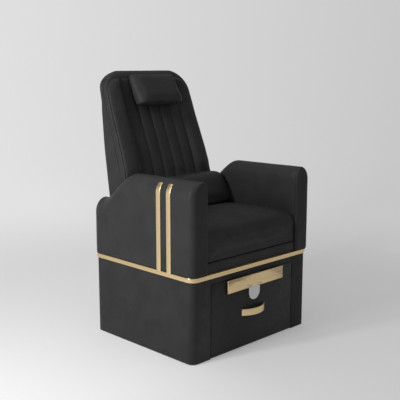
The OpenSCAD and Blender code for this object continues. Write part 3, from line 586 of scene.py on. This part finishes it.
def bow_handle():
    """Flat bar bent to a bow, with a foot at each end on the drawer front."""
    half, bow, thick, foot, height, mid_z = 79, 30, 5, 16, 31, 168.5
    r = (half * half + bow * bow) / (2 * bow)
    cy = FRONT_Y - bow + r
    reach = asin(half / r)
    outer = [(r * sin(a), cy - r * cos(a))
             for a in (mix(-reach, reach, k / 28) for k in range(29))]
    ri, xi = r - thick, half - foot
    inner_reach = asin(xi / ri)
    inner = [(ri * sin(a), cy - ri * cos(a))
             for a in (mix(inner_reach, -inner_reach, k / 24) for k in range(25))]
    outline = outer + [(xi, FRONT_Y)] + inner + [(-xi, FRONT_Y)]
    return prism("bow_handle", outline, mid_z - height / 2, mid_z + height / 2, 2)


dress(eased_edges(bow_handle(), 1.2), GOLD_ALONG, "gold_metal", "drawer", "drawer_handle")


def foot_plate():
    """Flat bar with a round lower edge and two notches for the bracket's knuckles."""
    half, low, high, y0, y1 = 188, 281, 341, -350.8, -338.8
    knuckle_x, notch_half, past = 32, 5.3, 5
    r, cy = (y1 - y0) / 2, (y0 + y1) / 2
    notch_top = low + 2 * r + 0.3
    section = arc(cy, low + r, r, range(180, 361, 12)) + [(y1, high), (y0, high)]
    bar = prism("footrest_bar", section, -half, half, 0)
    for x in (-knuckle_x, knuckle_x):
        hole = [(y0 - past, low - past), (y1 + past, low - past), (y1 + past, notch_top),
                (y0 - past, notch_top)]
        notch = prism("notch", hole, x - notch_half, x + notch_half, 0)
        cut = bar.modifiers.new("notch", "BOOLEAN")
        cut.object = notch
        cut.solver = "EXACT"
        settle(bar)
        bpy.data.objects.remove(notch)
    return eased_edges(bar, 1.0, 2)


dress(foot_plate(), GOLD_ALONG, "gold_metal", "footrest", "footrest_plate")


# Arms and their trims

def arm_crown(y):
    """Height of an arm's crown, which falls in an S towards the rear."""
    t = clamp((y - FRONT_Y - SHOULDER_START) / SHOULDER_LEN)
    line = ARM_TOP - ARM_SAG * (y - ARM_FRONT) / BODY_D - SHOULDER_DROP * (1 - cos(pi * t)) / 2
    return line - round_fall(SHOULDER_R, ARM_REAR - y) - round_fall(ARM_EDGE_R, y - ARM_FRONT)


# The front piece of an arm: its depth, its edge, what it sits back by, and the roll behind its seam
FACING_D, FACING_R, FACING_BACK, ARM_ROLL, ROLL_DEEP = 15, 13, 0.5, 36, 8
FACING_LINES = [0, 0.6, 1.8, 3.5, 5.5, 8, 10.5, 12.6, 13.9, 14.6, 15, 15.4, 16.2, 17.6, 20, 23.5,
                28, 34, 42, 52]


def quarter(t):
    """Rise of a quarter round over its reach, steep at 0 and flat at 1."""
    t = clamp(t)
    return sqrt(t * (2 - t))


def groove(distance, deep, width):
    """Depth of a sewn groove at a distance from its middle."""
    return deep * exp(-(distance / width) ** 2)


def arm_inner(y):
    """Inner face of an arm, with the seam behind its front piece and the roll behind the seam."""
    d = y - ARM_FRONT
    crease = groove(d - FACING_D, 1.5, 1.8)
    if d < FACING_D:
        return ARM_IN + FACING_BACK + round_fall(FACING_R, d) + crease
    roll = ROLL_DEEP * (1 - quarter((d - FACING_D) / ARM_ROLL))
    return ARM_IN + roll + round_fall(ARM_EDGE_R, ARM_REAR - y) + crease


def arm_section(y, side):
    """Section of an arm at y, a ring in X and Z from the foot of its inner face."""
    inner = arm_inner(y)
    outer = ARM_OUT - max(round_fall(ARM_FRONT_R, y - ARM_FRONT), round_fall(ARM_REAR_R, ARM_REAR - y))
    ridge = inner + (outer - inner) * ARM_INNER_R / (ARM_OUT - ARM_IN)
    top = arm_crown(y)
    wall = 20
    ring = [(inner, mix(BASE_Z, top - ARM_INNER_H, k / wall)) for k in range(wall)]
    for k in range(9):
        a = radians(90 * k / 8)
        ring.append((ridge - (ridge - inner) * cos(a), top - ARM_INNER_H * (1 - sin(a))))
    for k in range(1, 12):
        a = radians(90 * k / 11)
        ring.append((ridge + (outer - ridge) * sin(a), top - ARM_OUTER_R * (1 - cos(a))))
    ring += [(outer, mix(top - ARM_OUTER_R, BASE_Z, k / wall)) for k in range(1, wall + 1)]
    ring += [(mix(outer, inner, k / 5), BASE_Z) for k in range(1, 5)]
    return [(side * x, y, z) for x, z in ring]


def arm(side):
    places = [ARM_FRONT + d for d in FACING_LINES]
    places += [y for y in stations(ARM_FRONT, ARM_REAR, ARM_REAR_R, 9) if y > places[-1] + 5]
    obj = loft(named(side, "arm_cushion"), [arm_section(y, side) for y in places], 8)
    subdivide(obj)
    reshape(obj, lambda x, y, z, n: n * (0.9 * ripple(x, y, z, 130, 3.1)
                                         + 0.25 * ripple(x, y, z, 28, 7.7)) * ease((z - BASE_Z) / 14))
    dress(obj, LEATHERETTE, "leatherette", "body", named(side, "arm_cover"))


def gold_strips(side):
    """Two flat strips that climb the outer face of an arm and bend over its crown."""
    bend_z = ARM_TOP - ARM_OUTER_R
    path = [(ARM_OUT, mix(BASE_Z, bend_z, k / 24), 1.0, 0.0) for k in range(24)]
    for k in range(13):
        a = radians(STRIP_BEND * k / 12)
        path.append((ARM_OUT - ARM_OUTER_R + ARM_OUTER_R * cos(a),
                     bend_z + ARM_OUTER_R * sin(a), cos(a), sin(a)))
    let, ease_r, cut = 0.4, 1, 0.3
    section = [(-let, -0.5), (STRIP_PROUD - ease_r, -0.5), (STRIP_PROUD - cut, -0.5 + cut / STRIP_W),
               (STRIP_PROUD, -0.5 + ease_r / STRIP_W), (STRIP_PROUD, 0.5 - ease_r / STRIP_W),
               (STRIP_PROUD - cut, 0.5 - cut / STRIP_W), (STRIP_PROUD - ease_r, 0.5), (-let, 0.5)]
    n = len(section)
    points, faces = [], []
    for mid in (-0.5, 0.5):
        y0 = ARM_FRONT + STRIP_MID + mid * (STRIP_W + STRIP_GAP)
        first = len(points)
        for x, z, nx, nz in path:
            points += [(side * (x + out * nx), y0 + share * STRIP_W, z + out * nz)
                       for out, share in section]
        faces += bands(len(path), n, first)
        faces += [tuple(range(first, first + n)),
                  tuple(range(len(points) - 1, len(points) - 1 - n, -1))]
    obj = add_mesh(named(side, "gold_strips"), points, faces)
    mark_sharp(obj, 50)
    # The strips take the upright gold, painted a little lighter as light on them
    dress(obj, GOLD_UP_PAINTED_LIGHTER, "gold_metal", "body", named(side, "trim_strips"))


for side in (-1, 1):
    arm(side)
    gold_strips(side)


# Seat

# The seat's edges, its gap to the back, how deep it dips and how high it crowns
SEAT_SIDE_R, SEAT_FRONT_R, SEAT_FOOT_R, SEAT_BACK_GAP, SEAT_DIP, SEAT_CROWN = 18, 40, 9, 12, 3.0, 4.0


def back_front(z):
    """Flat face of the back's front pad, in Y, at height z."""
    return BACK_Y + (z - BACK_Z) * LEAN


def seat_section(x):
    """Section of the seat cushion at x, a closed ring in Y and Z."""
    u = x / SEAT_HALF
    edge = round_fall(SEAT_SIDE_R, SEAT_HALF - abs(x))
    top = SEAT_TOP - SEAT_DIP + SEAT_CROWN * (1 - u * u) - edge
    rear = back_front(SEAT_TOP) - SEAT_BACK_GAP - edge / 2
    rear_foot = back_front(SEAT_Z) - SEAT_BACK_GAP - edge / 2
    fy = SEAT_Y + 1.5 + edge / 4
    r, foot_r, dome = SEAT_FRONT_R, SEAT_FOOT_R, 11
    front_share, crown_share, rear_share = 0.13, 0.43, 0.95
    ring = [(mix(rear_foot, rear - 8, k / 10), mix(SEAT_Z, top - 49, k / 10)) for k in range(10)]
    for k in range(29):
        share = mix(1.0, front_share, k / 28)
        d = 2 * (share - crown_share)
        y = SEAT_Y + (rear - 16 - SEAT_Y) * share
        fall = 17 * clamp((share - rear_share) / 0.05) ** 2
        ring.append((y, top - dome * d * d * 1.6 - fall))
    arc_z = ring[-1][1] - r
    ring += arc(fy + r, arc_z, r, range(95, 181, 8))
    low = ring[-1][1]
    ring += [(fy, mix(low, SEAT_Z + foot_r, k / 8)) for k in range(1, 9)]
    ring += arc(fy + foot_r, SEAT_Z + foot_r, -foot_r, (30, 60, 90))
    ring += [(mix(fy + foot_r, rear_foot, k / 14), SEAT_Z) for k in range(1, 14)]
    return [(x, y, z) for y, z in ring]


def seat():
    half = SEAT_HALF - 0.4
    rings = [seat_section(x) for x in stations(-half, half, SEAT_SIDE_R, 14)]
    obj = loft("seat_cushion_soft", rings, 6)

    def hold(x, y, z):
        sides = ease((SEAT_HALF - 4 - abs(x)) / 30)
        foot = ease((z - SEAT_Z - 4) / 40)
        rear = ease((back_front(z) - 14 - y) / 30)
        return 0.02 + 0.98 * sides * foot * rear

    stuff(obj, voxel=5, cap=7, hold=hold)
    subdivide(obj)
    reshape(obj, lambda x, y, z, n: n * 0.5 * ripple(x, y, z, 90, 1.3) * ease((z - SEAT_Z) / 20))
    dress(obj, LEATHERETTE, "leatherette", "body", "seat_cushion")


def front_rail():
    """Covered rail under the seat cushion, rounded at the front and drawn in at its ends."""
    thick, high, front_r, rear_r, end_r = 18, 48, 9, 1, 4
    y0, y1, z0, z1 = SEAT_Y, SEAT_Y + thick, BASE_Z, BASE_Z + high
    ring = arc(y0 + front_r, z1 - front_r, front_r, range(90, 181, 18))
    ring += arc(y0 + front_r, z0 + front_r, front_r, range(180, 271, 18))
    ring += arc(y1 - rear_r, z0 + rear_r, rear_r, range(270, 361, 18))
    ring += arc(y1 - rear_r, z1 - rear_r, rear_r, range(0, 91, 18))
    half, cy, cz = SEAT_HALF - 0.3, (y0 + y1) / 2, (z0 + z1) / 2
    rings = []
    for x in stations(-half, half, end_r, 16):
        edge = round_fall(end_r, half - abs(x))
        rings.append([(x, cy + (y - cy) * (1 - edge / thick), cz + (z - cz) * (1 - edge / high))
                      for y, z in ring])
    obj = loft("seat_rail_cover", rings, 4)
    subdivide(obj)
    reshape(obj, lambda x, y, z, n: n * 0.35 * ripple(x, y, z, 60, 5.2))
    dress(obj, LEATHERETTE, "leatherette", "body", "seat_front_rail")


seat()
front_rail()


# Back

def back_straight(z):
    """Half width of the back at height z, before its top corners are rounded."""
    return BACK_FOOT_HALF - (z - BACK_Z) * BACK_TAPER


def back_half(z, wide=BACK_CORNER_R, high=BACK_CORNER_R):
    """Half width of the back at height z, with top corners so wide and so high."""
    return back_straight(z) - wide / high * round_fall(high, BACK_TOP - z)


def back_rear(z):
    """Flat face of the back's rear, in Y, at height z."""
    return BACK_Y + BACK_FOOT_D + (z - BACK_Z) * REAR_LEAN


def channel_fall(share):
    """Depth of a channelled face across one channel, 0 in its middle and 1 in the grooves."""
    t = abs(2 * share - 1)
    return 0.6 * t ** 2.4 + 0.4 * t ** 9


# The seam round the front pad: its insets, its corner and how far behind the flat face it lies.
# Then the fall outside it, and the reach and swell of the rolls inside it
SEAM_SIDE, SEAM_TOP, SEAM_R, SEAM_Y = 8, 33, 65, 4
EDGE_FALL, ROLL_SIDE, ROLL_TOP, ROLL_OUT = 12, 60, 26, 14
PANEL_SHARES = [0.07, 0.15, 0.25, 0.36, 0.48, 0.58, 0.68, 0.77, 0.85, 0.91, 0.95, 0.975, 0.99, 1]
EDGE_SHARES = [0.1, 0.25, 0.45, 0.65, 0.82, 0.94, 1]
TOP_LINES = [0, 0.8, 2.5, 5, 8.5, 13, 18, 23, 27.5, 30.5, 32.2, 33, 33.8, 35.5, 38, 41.5, 46, 51,
             57, 64, 72]
# What the head pillow's strap presses the top edge down by, over half its width and a little more
TOP_DIP, DIP_HALF = 4, 96
# What the whole top edge stands up by, the pad's swell, and the heights where the rolls and the
# swell start above the bolster and the swell starts to fade
TOP_RISE, BELLY, ROLL_Z, BELLY_Z, BELLY_FADE_Z = 1.5, 7, 708, 735, 830


def inside(x, z, inset_x, inset_z, r):
    """Distance of a place on the front of the back from a rounded line inset from its outline."""
    side, top = back_straight(z) - inset_x - abs(x), BACK_TOP - inset_z - z
    if side < r and top < r:
        return r - hypot(r - side, r - top)
    return min(side, top)


def belly(z):
    """How far the pad swells forwards above the arms."""
    return -BELLY * ease((z - BELLY_Z) / 50) * (1 - ease((z - BELLY_FADE_Z) / 220))


def pad_depth(x, z):
    """How far the cover of the front pad lies behind its flat face at a place."""
    edge = max(0.0, inside(x, z, 0, 0, BACK_CORNER_R))
    seam = inside(x, z, SEAM_SIDE, SEAM_TOP, SEAM_R)
    crease = groove(seam, 1.6, 2.2)
    if seam <= 0:
        width = max(1.0, edge - seam)
        fall = EDGE_FALL + 0.35 * (width - SEAM_SIDE)
        return SEAM_Y + fall * (1 - quarter(edge / width)) + crease
    if abs(x) <= CHANNEL_HALF:
        share = (x / CHANNEL_HALF * (CHANNELS / 2) + CHANNELS / 2) % 1.0
        inner = CHANNEL_D * channel_fall(share)
    else:
        crown = back_straight(z) - SEAM_SIDE - ROLL_SIDE
        t = clamp((crown - abs(x)) / (crown - CHANNEL_HALF))
        inner = mix(-ROLL_OUT * ease((z - ROLL_Z) / 80), CHANNEL_D, t ** 2.4)
    upper = ease((back_straight(z) - abs(x) - BACK_TOP + SEAM_TOP + z) / 60 + 0.5)
    return mix(SEAM_Y, inner, quarter(seam / mix(ROLL_SIDE, ROLL_TOP, upper))) + crease


def pad_half_line(z):
    """Places across one half of the pad at height z, from its outermost groove to its edge."""
    h, top = back_half(z), BACK_TOP - SEAM_TOP
    if z < top:
        seam = back_straight(z) - SEAM_SIDE - round_fall(SEAM_R, top - z)
    else:
        seam = h * (back_straight(top) - SEAM_SIDE - SEAM_R) / back_half(top)
    g = min(CHANNEL_HALF, seam - 34)
    return g, [mix(g, seam, k) for k in PANEL_SHARES] + [mix(seam, h, k) for k in EDGE_SHARES]


def pad_rear(z):
    """Line where the pad ends and the boxing starts, nearer to the front at the top."""
    return back_front(z) + mix(PAD_T, PAD_TOP_T, ease((z - BACK_TOP + 110) / 110))


def pad_section(z):
    """Section of the front pad at height z, from its left edge across the face to the rear."""
    g, side = pad_half_line(z)
    h = side[-1]
    xs = [-x for x in reversed(side)]
    xs += [mix(-g, g, k / 70) for k in range(71)]
    xs += side
    y = back_front(z) + belly(z)
    rear = pad_rear(z) - 0.3
    ring = [(x, y + pad_depth(x, z)) for x in xs]
    edge = ring[-1][1]
    ring += [(h, mix(edge, rear, k / 4)) for k in range(1, 5)]
    ring += [(mix(h, -h, k / 24), rear) for k in range(1, 24)]
    ring += [(-h, mix(rear, edge, k / 4)) for k in range(4)]
    return [(x, yy, z) for x, yy in ring]


def top_press(x, z):
    """How far the head pillow's strap presses the top edge down."""
    dip = TOP_DIP * ease((DIP_HALF + 6 - abs(x)) / 14) * ease((z - BACK_TOP + 50) / 50)
    return dip - TOP_RISE * ease((z - BACK_TOP + 40) / 40)


def back_stations():
    """Heights of the back's sections, crowded over the rounded top corners and the top seam."""
    bend, corner_h = BACK_TOP - 120, 48
    rise = [BACK_Z + (bend - BACK_Z) * k / 56 for k in range(56)]
    corner = [bend + corner_h * k / 6 for k in range(6)]
    return rise + corner + [BACK_TOP - d for d in reversed(TOP_LINES)]


def back_pad():
    obj = loft("back_channel_pad", [pad_section(z) for z in back_stations()], 6)

    def crumple(x, y, z, n):
        facing = clamp(-n[1])
        return n * facing * (0.9 * ripple(x * 1.4, y, z, 70, 2.2) + 0.5 * ripple(x * 2, y, z, 26, 8.4))

    subdivide(obj)
    reshape(obj, crumple)
    reshape(obj, lambda x, y, z, n: np.array((0.0, 0.0, -top_press(x, z))))
    dress(obj, LEATHERETTE, "leatherette", "back", "back_cushion")


def rear_line(z):
    """Rear face of the back, a little full at mid height and upright towards the top."""
    full_z, full_end_z, upright_h, top_r = 500, 860, 230, 8
    full = 8 * ease((z - full_z) / 150) * (1 - ease((z - full_end_z) / 200))
    upright = 9 * clamp((z - BACK_TOP + upright_h) / upright_h) ** 2
    return back_rear(z) + full - upright - round_fall(top_r, BACK_TOP - z)


def cover_section(z):
    """Section of the boxing and the rear, whose top corners are rounder at the rear."""
    y0, y1 = pad_rear(z), rear_line(z)
    r = 24 + 16 * ease((z - BACK_TOP + 200) / 100) * (1 - ease((z - BACK_TOP + 60) / 40))
    r = min(r, (y1 - y0) * 0.7)
    h0, h = back_half(z), back_half(z, REAR_CORNER_W, REAR_CORNER_H)
    right = [(mix(h0, h, (k / 10) ** 2.2), mix(y0, y1 - r, k / 10)) for k in range(10)]
    right += arc(h - r, y1 - r, r, range(0, 91, 10))
    rear = [(mix(h - r, r - h, k / 26), y1) for k in range(1, 26)]
    left = [(-x, y) for x, y in reversed(right)]
    front = [(mix(-h0, h0, k / 26), y0) for k in range(1, 26)]
    return [(x, y, z) for x, y in right + rear + left + front]


def back_cover():
    obj = loft("back_boxing_and_rear", [cover_section(z) for z in back_stations()], 6)
    subdivide(obj)
    reshape(obj, lambda x, y, z, n: n * 0.8 * ripple(x, y, z, 110, 4.6)
            - np.array((0.0, 0.0, top_press(x, z))))
    dress(obj, LEATHERETTE, "leatherette", "back", "back_rear_cover")


def pillow_ring(x, corners, thick, tall, power, steps):
    """Ring of a pillow at x, as thick and tall a share of a section with corners in Y and Z: low
    front, low rear, high rear and high front. The lower the power, the squarer the ring."""
    ring = []
    for k in range(steps):
        a = 2 * pi * k / steps
        c, s = cos(a), sin(a)
        deep = (1 + thick * copysign(abs(c) ** power, c)) / 2
        high = (1 + tall * copysign(abs(s) ** power, s)) / 2
        low_p = [mix(corners[0][i], corners[1][i], deep) for i in (0, 1)]
        high_p = [mix(corners[3][i], corners[2][i], deep) for i in (0, 1)]
        ring.append((x, mix(low_p[0], high_p[0], high), mix(low_p[1], high_p[1], high)))
    return ring


def on_back(z):
    """Place in Y and Z at height z, just clear of the flat face of the back."""
    return back_front(z) - 0.3 * hypot(1, LEAN), z


LEAN_COS = 1 / hypot(1, LEAN)
LEAN_SIN = LEAN * LEAN_COS


def head_ring(x, half_w, end_r, corners):
    """Ring of the head pillow at x, whose ends are rounded from front to rear."""
    turn = clamp((abs(x) - half_w + end_r) / end_r)
    thick = sqrt(max(0.0, 1 - turn * turn))
    tall = mix(0.86, 1, thick ** 0.8) * mix(0.2, 1, min(1.0, thick * 12))
    return pillow_ring(x, corners, thick, tall, 0.5, 56)


def bolster_ring(u, half_w, corners):
    """Ring of the bolster at the share u of its half width, plump almost to its ends."""
    swell = (1 - abs(u) ** 6) ** 0.18
    flat = mix(0.8, 1, swell) * swell ** 0.4
    return pillow_ring(u * half_w, corners, swell, flat, 0.65, 48)


def out_of_back(z, out):
    """Place in Y and Z at distance out from the face of the back, square to it, at height z."""
    y, z = on_back(z)
    return y - out * LEAN_COS, z + out * LEAN_SIN


def head_pillow():
    low = BACK_TOP - HEAD_DROP - HEAD_H / 2 * LEAN_COS
    high = low + HEAD_H * LEAN_COS
    corners = [out_of_back(low, HEAD_LOW_T), on_back(low), on_back(high), out_of_back(high, HEAD_TOP_T)]
    half_w, end_r = HEAD_W / 2 - 3, 38
    rings = [head_ring(x, half_w, end_r, corners) for x in stations(-half_w, half_w, end_r, 12)]
    obj = loft("head_pillow_soft", rings, 3)
    stuff(obj, voxel=4, cap=3, hold=lambda x, y, z: 0.1 + 0.9 * ease((back_front(z) - 6 - y) / 30))
    subdivide(obj)
    dress(obj, LEATHERETTE, "leatherette", "back", "head_pillow")


def pillow_strap():
    """Flat strap that holds the head pillow, from behind it over the top edge and down the rear."""
    half, thick, edge, out_front, out_rear, painted_light_near = 95, 2.6, 0.8, 0.8, 0.8, 0.3
    line = [(back_front(BACK_TOP - d) - 1.0, BACK_TOP - d) for d in (70, 62, 54, 46)]
    line += [(back_front(BACK_TOP - d) + pad_depth(0, BACK_TOP - d) - out_front, BACK_TOP - d + painted_light_near)
             for d in (38, 32, 27, 23, 19, 15, 11, 8, 5, 2.6, 1)]
    top_y0, top_y1 = back_front(BACK_TOP) + 24, rear_line(BACK_TOP) - 1
    line += [(mix(top_y0, top_y1, k / 2), BACK_TOP + 1.2) for k in range(3)]
    line += [(rear_line(BACK_TOP - d) + out_rear, BACK_TOP - d + painted_light_near)
             for d in (0.6, 3, 7, 12, 18, 25, 34, 46, 60, 75, 90)]
    line = [(y, z - top_press(0, z)) for y, z in line]
    across = [(mix(-half, half, k / 16), thick) for k in range(17)] + [(half + edge, thick / 2)]
    across += [(mix(half, -half, k / 16), -0.6) for k in range(17)] + [(-half - edge, thick / 2)]
    rings = []
    for i, (y, z) in enumerate(line):
        (ya, za), (yb, zb) = line[max(0, i - 1)], line[min(len(line) - 1, i + 1)]
        long = hypot(yb - ya, zb - za)
        ny, nz = -(zb - za) / long, (yb - ya) / long
        rings.append([(x, y + ny * out, z + nz * out) for x, out in across])
    obj = loft("head_pillow_strap", rings, 2)
    subdivide(obj)
    dress(obj, LEATHERETTE, "leatherette", "back")


def lumbar_bolster():
    (low_y, low_z), (top_y, top_z) = on_back(BOLSTER_Z), on_back(BOLSTER_TOP_Z)
    corners = [(low_y - BOLSTER_LOW_T, low_z), on_back(BOLSTER_Z - 11), (top_y, top_z),
               (top_y - BOLSTER_TOP_T, top_z)]
    shares = [sin(radians(a)) * 0.999 for a in range(-90, 91, 5)]
    rings = [bolster_ring(u, BOLSTER_W / 2 - 2, corners) for u in shares]
    obj = loft("lumbar_bolster_soft", rings, 5)

    def hold(x, y, z):
        return (0.1 + 0.9 * ease((back_front(z) - 6 - y) / 30) * ease((z - BOLSTER_Z - 16) / 30)
                * ease((BOLSTER_W / 2 - 4 - abs(x)) / 30))

    stuff(obj, voxel=5, cap=8, hold=hold)
    subdivide(obj)
    dress(obj, LEATHERETTE, "leatherette", "back", "lumbar_bolster")


back_pad()
back_cover()
head_pillow()
pillow_strap()
lumbar_bolster()


def around_the_back(inset_x, inset_z, r, depth):
    """Line inset from the outline of the back, up one side, over the top and down the other."""
    top = BACK_TOP - inset_z
    rise = [mix(BACK_Z + 4, top - r, k / 60) for k in range(60)]
    side = [(back_straight(z) - inset_x, z) for z in rise]
    for k in range(19):
        a = radians(90 * k / 18)
        z = top - r + r * sin(a)
        side.append((back_straight(z) - inset_x - r + r * cos(a), z))
    side = [(x, back_front(z) + belly(z) + depth, z - top_press(x, z)) for x, z in side]
    return [(-x, y, z) for x, y, z in side] + side[::-1]


seam_line = around_the_back(SEAM_SIDE, SEAM_TOP, SEAM_R, SEAM_Y + 1.4)
boxing_line = around_the_back(-0.4, -0.4, BACK_CORNER_R, 24)
cord = run_along("back_front_piping", seam_line, PIPING, Radius=1.1 * MM, Spacing=6 * MM,
                 Cover=PIPING_LEATHER)
dress(cord, None, "leatherette", "back")
seam = run_along("back_boxing_stitches", boxing_line, STITCHES, Pitch=7 * MM, Length=4.6 * MM,
                 Radius=0.5 * MM, Thread=THREAD)
dress(seam, None, "leatherette", "back")


# Camera, lights and backdrop

# The light that comes evenly from all round, and what the soft lamps face, in metres
WORLD_LIGHT = 0.27
LIT_PLACE = (0, 0, 0.7)


def add_camera():
    """The photograph's camera, found from the straight edges of the body."""
    look_down, look_right = 10.26, 45
    data = bpy.data.cameras.new("camera")
    data.lens, data.sensor_width = 67.70, 36
    camera = link("camera", data)
    camera.location = (-2.5139, -2.5007, 1.2755)
    camera.rotation_euler = (radians(90 - look_down), 0, radians(-look_right))
    bpy.context.scene.camera = camera


def aim(lamp, way):
    """Turns a lamp to shine along a direction."""
    lamp.rotation_euler = Vector(way).to_track_quat("-Z", "Y").to_euler()


def add_sun(name, towards, strength, angle):
    data = bpy.data.lights.new(name, "SUN")
    data.energy, data.angle = strength, radians(angle)
    aim(link(name, data), towards)


def add_softbox(name, place, power):
    """Upright soft lamp that faces the object and isn't seen itself."""
    data = bpy.data.lights.new(name, "AREA")
    data.energy, data.shape, data.size, data.size_y = power, "RECTANGLE", 0.25, 0.4
    lamp = link(name, data)
    lamp.location = place
    aim(lamp, Vector(LIT_PLACE) - Vector(place))
    lamp.visible_camera = False


def of_vector(nodes, links, operation, vector):
    node = nodes.new("ShaderNodeVectorMath")
    node.operation = operation
    links.new(vector, node.inputs[0])
    return node


def painted_backdrop_light(nodes, links, vector):
    """Pale grey with painted light, lighter on the camera's left, the side of the lamps, from a place
    or a direction.
    """
    dot = of_vector(nodes, links, "DOT_PRODUCT", vector)
    dot.inputs[1].default_value = (-0.7071, 0.7071, 0)
    return ranged(nodes, links, dot.outputs["Value"], (-0.42, 0.42), (0.565, 0.76))


def combined(nodes, links, operation, first, second):
    """One math node on two values."""
    node = nodes.new("ShaderNodeMath")
    node.operation = operation
    links.new(first, node.inputs[0])
    links.new(second, node.inputs[1])
    return node.outputs[0]


def blend(nodes, links, share, first, second, out):
    """Shows a mix of two shaders through the output node."""
    mixer = nodes.new("ShaderNodeMixShader")
    links.new(share, mixer.inputs["Fac"])
    links.new(first.outputs[0], mixer.inputs[1])
    links.new(second.outputs[0], mixer.inputs[2])
    links.new(mixer.outputs[0], nodes.new(out).inputs["Surface"])


def seen_by_camera(nodes, links):
    """1 for rays of the camera, of gloss and of glass, and 0 for the light on the object."""
    ray = nodes.new("ShaderNodeLightPath").outputs
    seen = combined(nodes, links, "MAXIMUM", ray["Is Camera Ray"], ray["Is Glossy Ray"])
    return combined(nodes, links, "MAXIMUM", seen, ray["Is Transmission Ray"])


def add_world():
    """Even light on the object, behind the shades of the backdrop."""
    world = bpy.data.worlds.new("studio")
    bpy.context.scene.world = world
    world.use_nodes = True
    nodes, links = world.node_tree.nodes, world.node_tree.links
    nodes.clear()
    coord = nodes.new("ShaderNodeTexCoord")
    seen = nodes.new("ShaderNodeBackground")
    light = nodes.new("ShaderNodeBackground")
    light.inputs["Color"].default_value = (1, 1, 1, 1)
    light.inputs["Strength"].default_value = WORLD_LIGHT
    # The backdrop that the camera sees, with its painted light lighter on the left
    links.new(painted_backdrop_light(nodes, links, coord.outputs["Generated"]), seen.inputs["Color"])
    blend(nodes, links, seen_by_camera(nodes, links), light, seen, "ShaderNodeOutputWorld")


def backdrop_material():
    """Pale floor that takes the object's shadow near by, where a painted glow lightens that shadow, and
    fades to the backdrop's shade. High up on the wall it is dim for glossy rays alone, so that upright
    leather doesn't turn grey."""
    material = bpy.data.materials.new("pale studio floor")
    material.use_nodes = True
    nodes, links = material.node_tree.nodes, material.node_tree.links
    nodes.clear()
    place = nodes.new("ShaderNodeTexCoord").outputs["Object"]
    distance = of_vector(nodes, links, "LENGTH", place).outputs["Value"]
    way = of_vector(nodes, links, "NORMALIZE", place).outputs["Vector"]
    reach = (1.2, 4.0)
    near = ranged(nodes, links, distance, reach, (0.36, 1.0), True)
    floor = nodes.new("ShaderNodeBsdfDiffuse")
    floor.inputs["Color"].default_value = (0.80, 0.80, 0.80, 1)
    glow = nodes.new("ShaderNodeEmission")
    # Painted light: near the chair the glow is 1.28 times as strong as far off, and its 0.36 share
    # there lightens the chair's shadow on the floor
    painted_light_near = ranged(nodes, links, distance, reach, (1.28, 1.0), True)
    links.new(painted_backdrop_light(nodes, links, way), glow.inputs["Color"])
    height = nodes.new("ShaderNodeSeparateXYZ")
    links.new(place, height.inputs[0])
    glossy = nodes.new("ShaderNodeLightPath").outputs["Is Glossy Ray"]
    reflected = combined(nodes, links, "MULTIPLY", height.outputs["Z"], glossy)
    dusk = ranged(nodes, links, reflected, (2.3, 3.6), (1.0, 0.3))
    links.new(combined(nodes, links, "MULTIPLY", painted_light_near, dusk), glow.inputs["Strength"])
    fade = combined(nodes, links, "MULTIPLY", near, seen_by_camera(nodes, links))
    blend(nodes, links, fade, floor, glow, "ShaderNodeOutputMaterial")
    return material


def add_backdrop():
    """A round floor, and a wall that rises from it in one curve and that lets light through."""
    material = backdrop_material()
    floor_r, wall_r, wall_top, steps = 6.0, 3.0, 9.0, 72
    rings = [[0.4, 0], [1.2, 0], [2.4, 0], [4.2, 0], [floor_r, 0]]
    curve = [[floor_r + wall_r * sin(radians(a)), wall_r * (1 - cos(radians(a)))]
             for a in range(0, 91, 9)] + [[floor_r + wall_r, wall_top]]
    for name, profile, through in (("studio_floor", rings, False), ("studio_wall", curve, True)):
        points = [(r * cos(2 * pi * k / steps), r * sin(2 * pi * k / steps), z)
                  for r, z in profile for k in range(steps)]
        faces = bands(len(profile), steps)
        if not through:
            faces.append(tuple(range(steps)))
        mesh = bpy.data.meshes.new(name)
        mesh.from_pydata(points, [], faces)
        mesh.materials.append(material)
        obj = link(name, mesh)
        shade(obj, through)
        if through:
            obj.visible_shadow = obj.visible_diffuse = False


add_camera()
add_softbox("key", (-2.085, -0.154, 1.1), 14)
add_softbox("second_key", (-2.58, 0.255, 2.0), 30)
add_sun("overhead", (0.05, 0.05, -1.0), 0.5, 120)
add_world()
add_backdrop()

bpy.context.scene.view_settings.view_transform = "Standard"
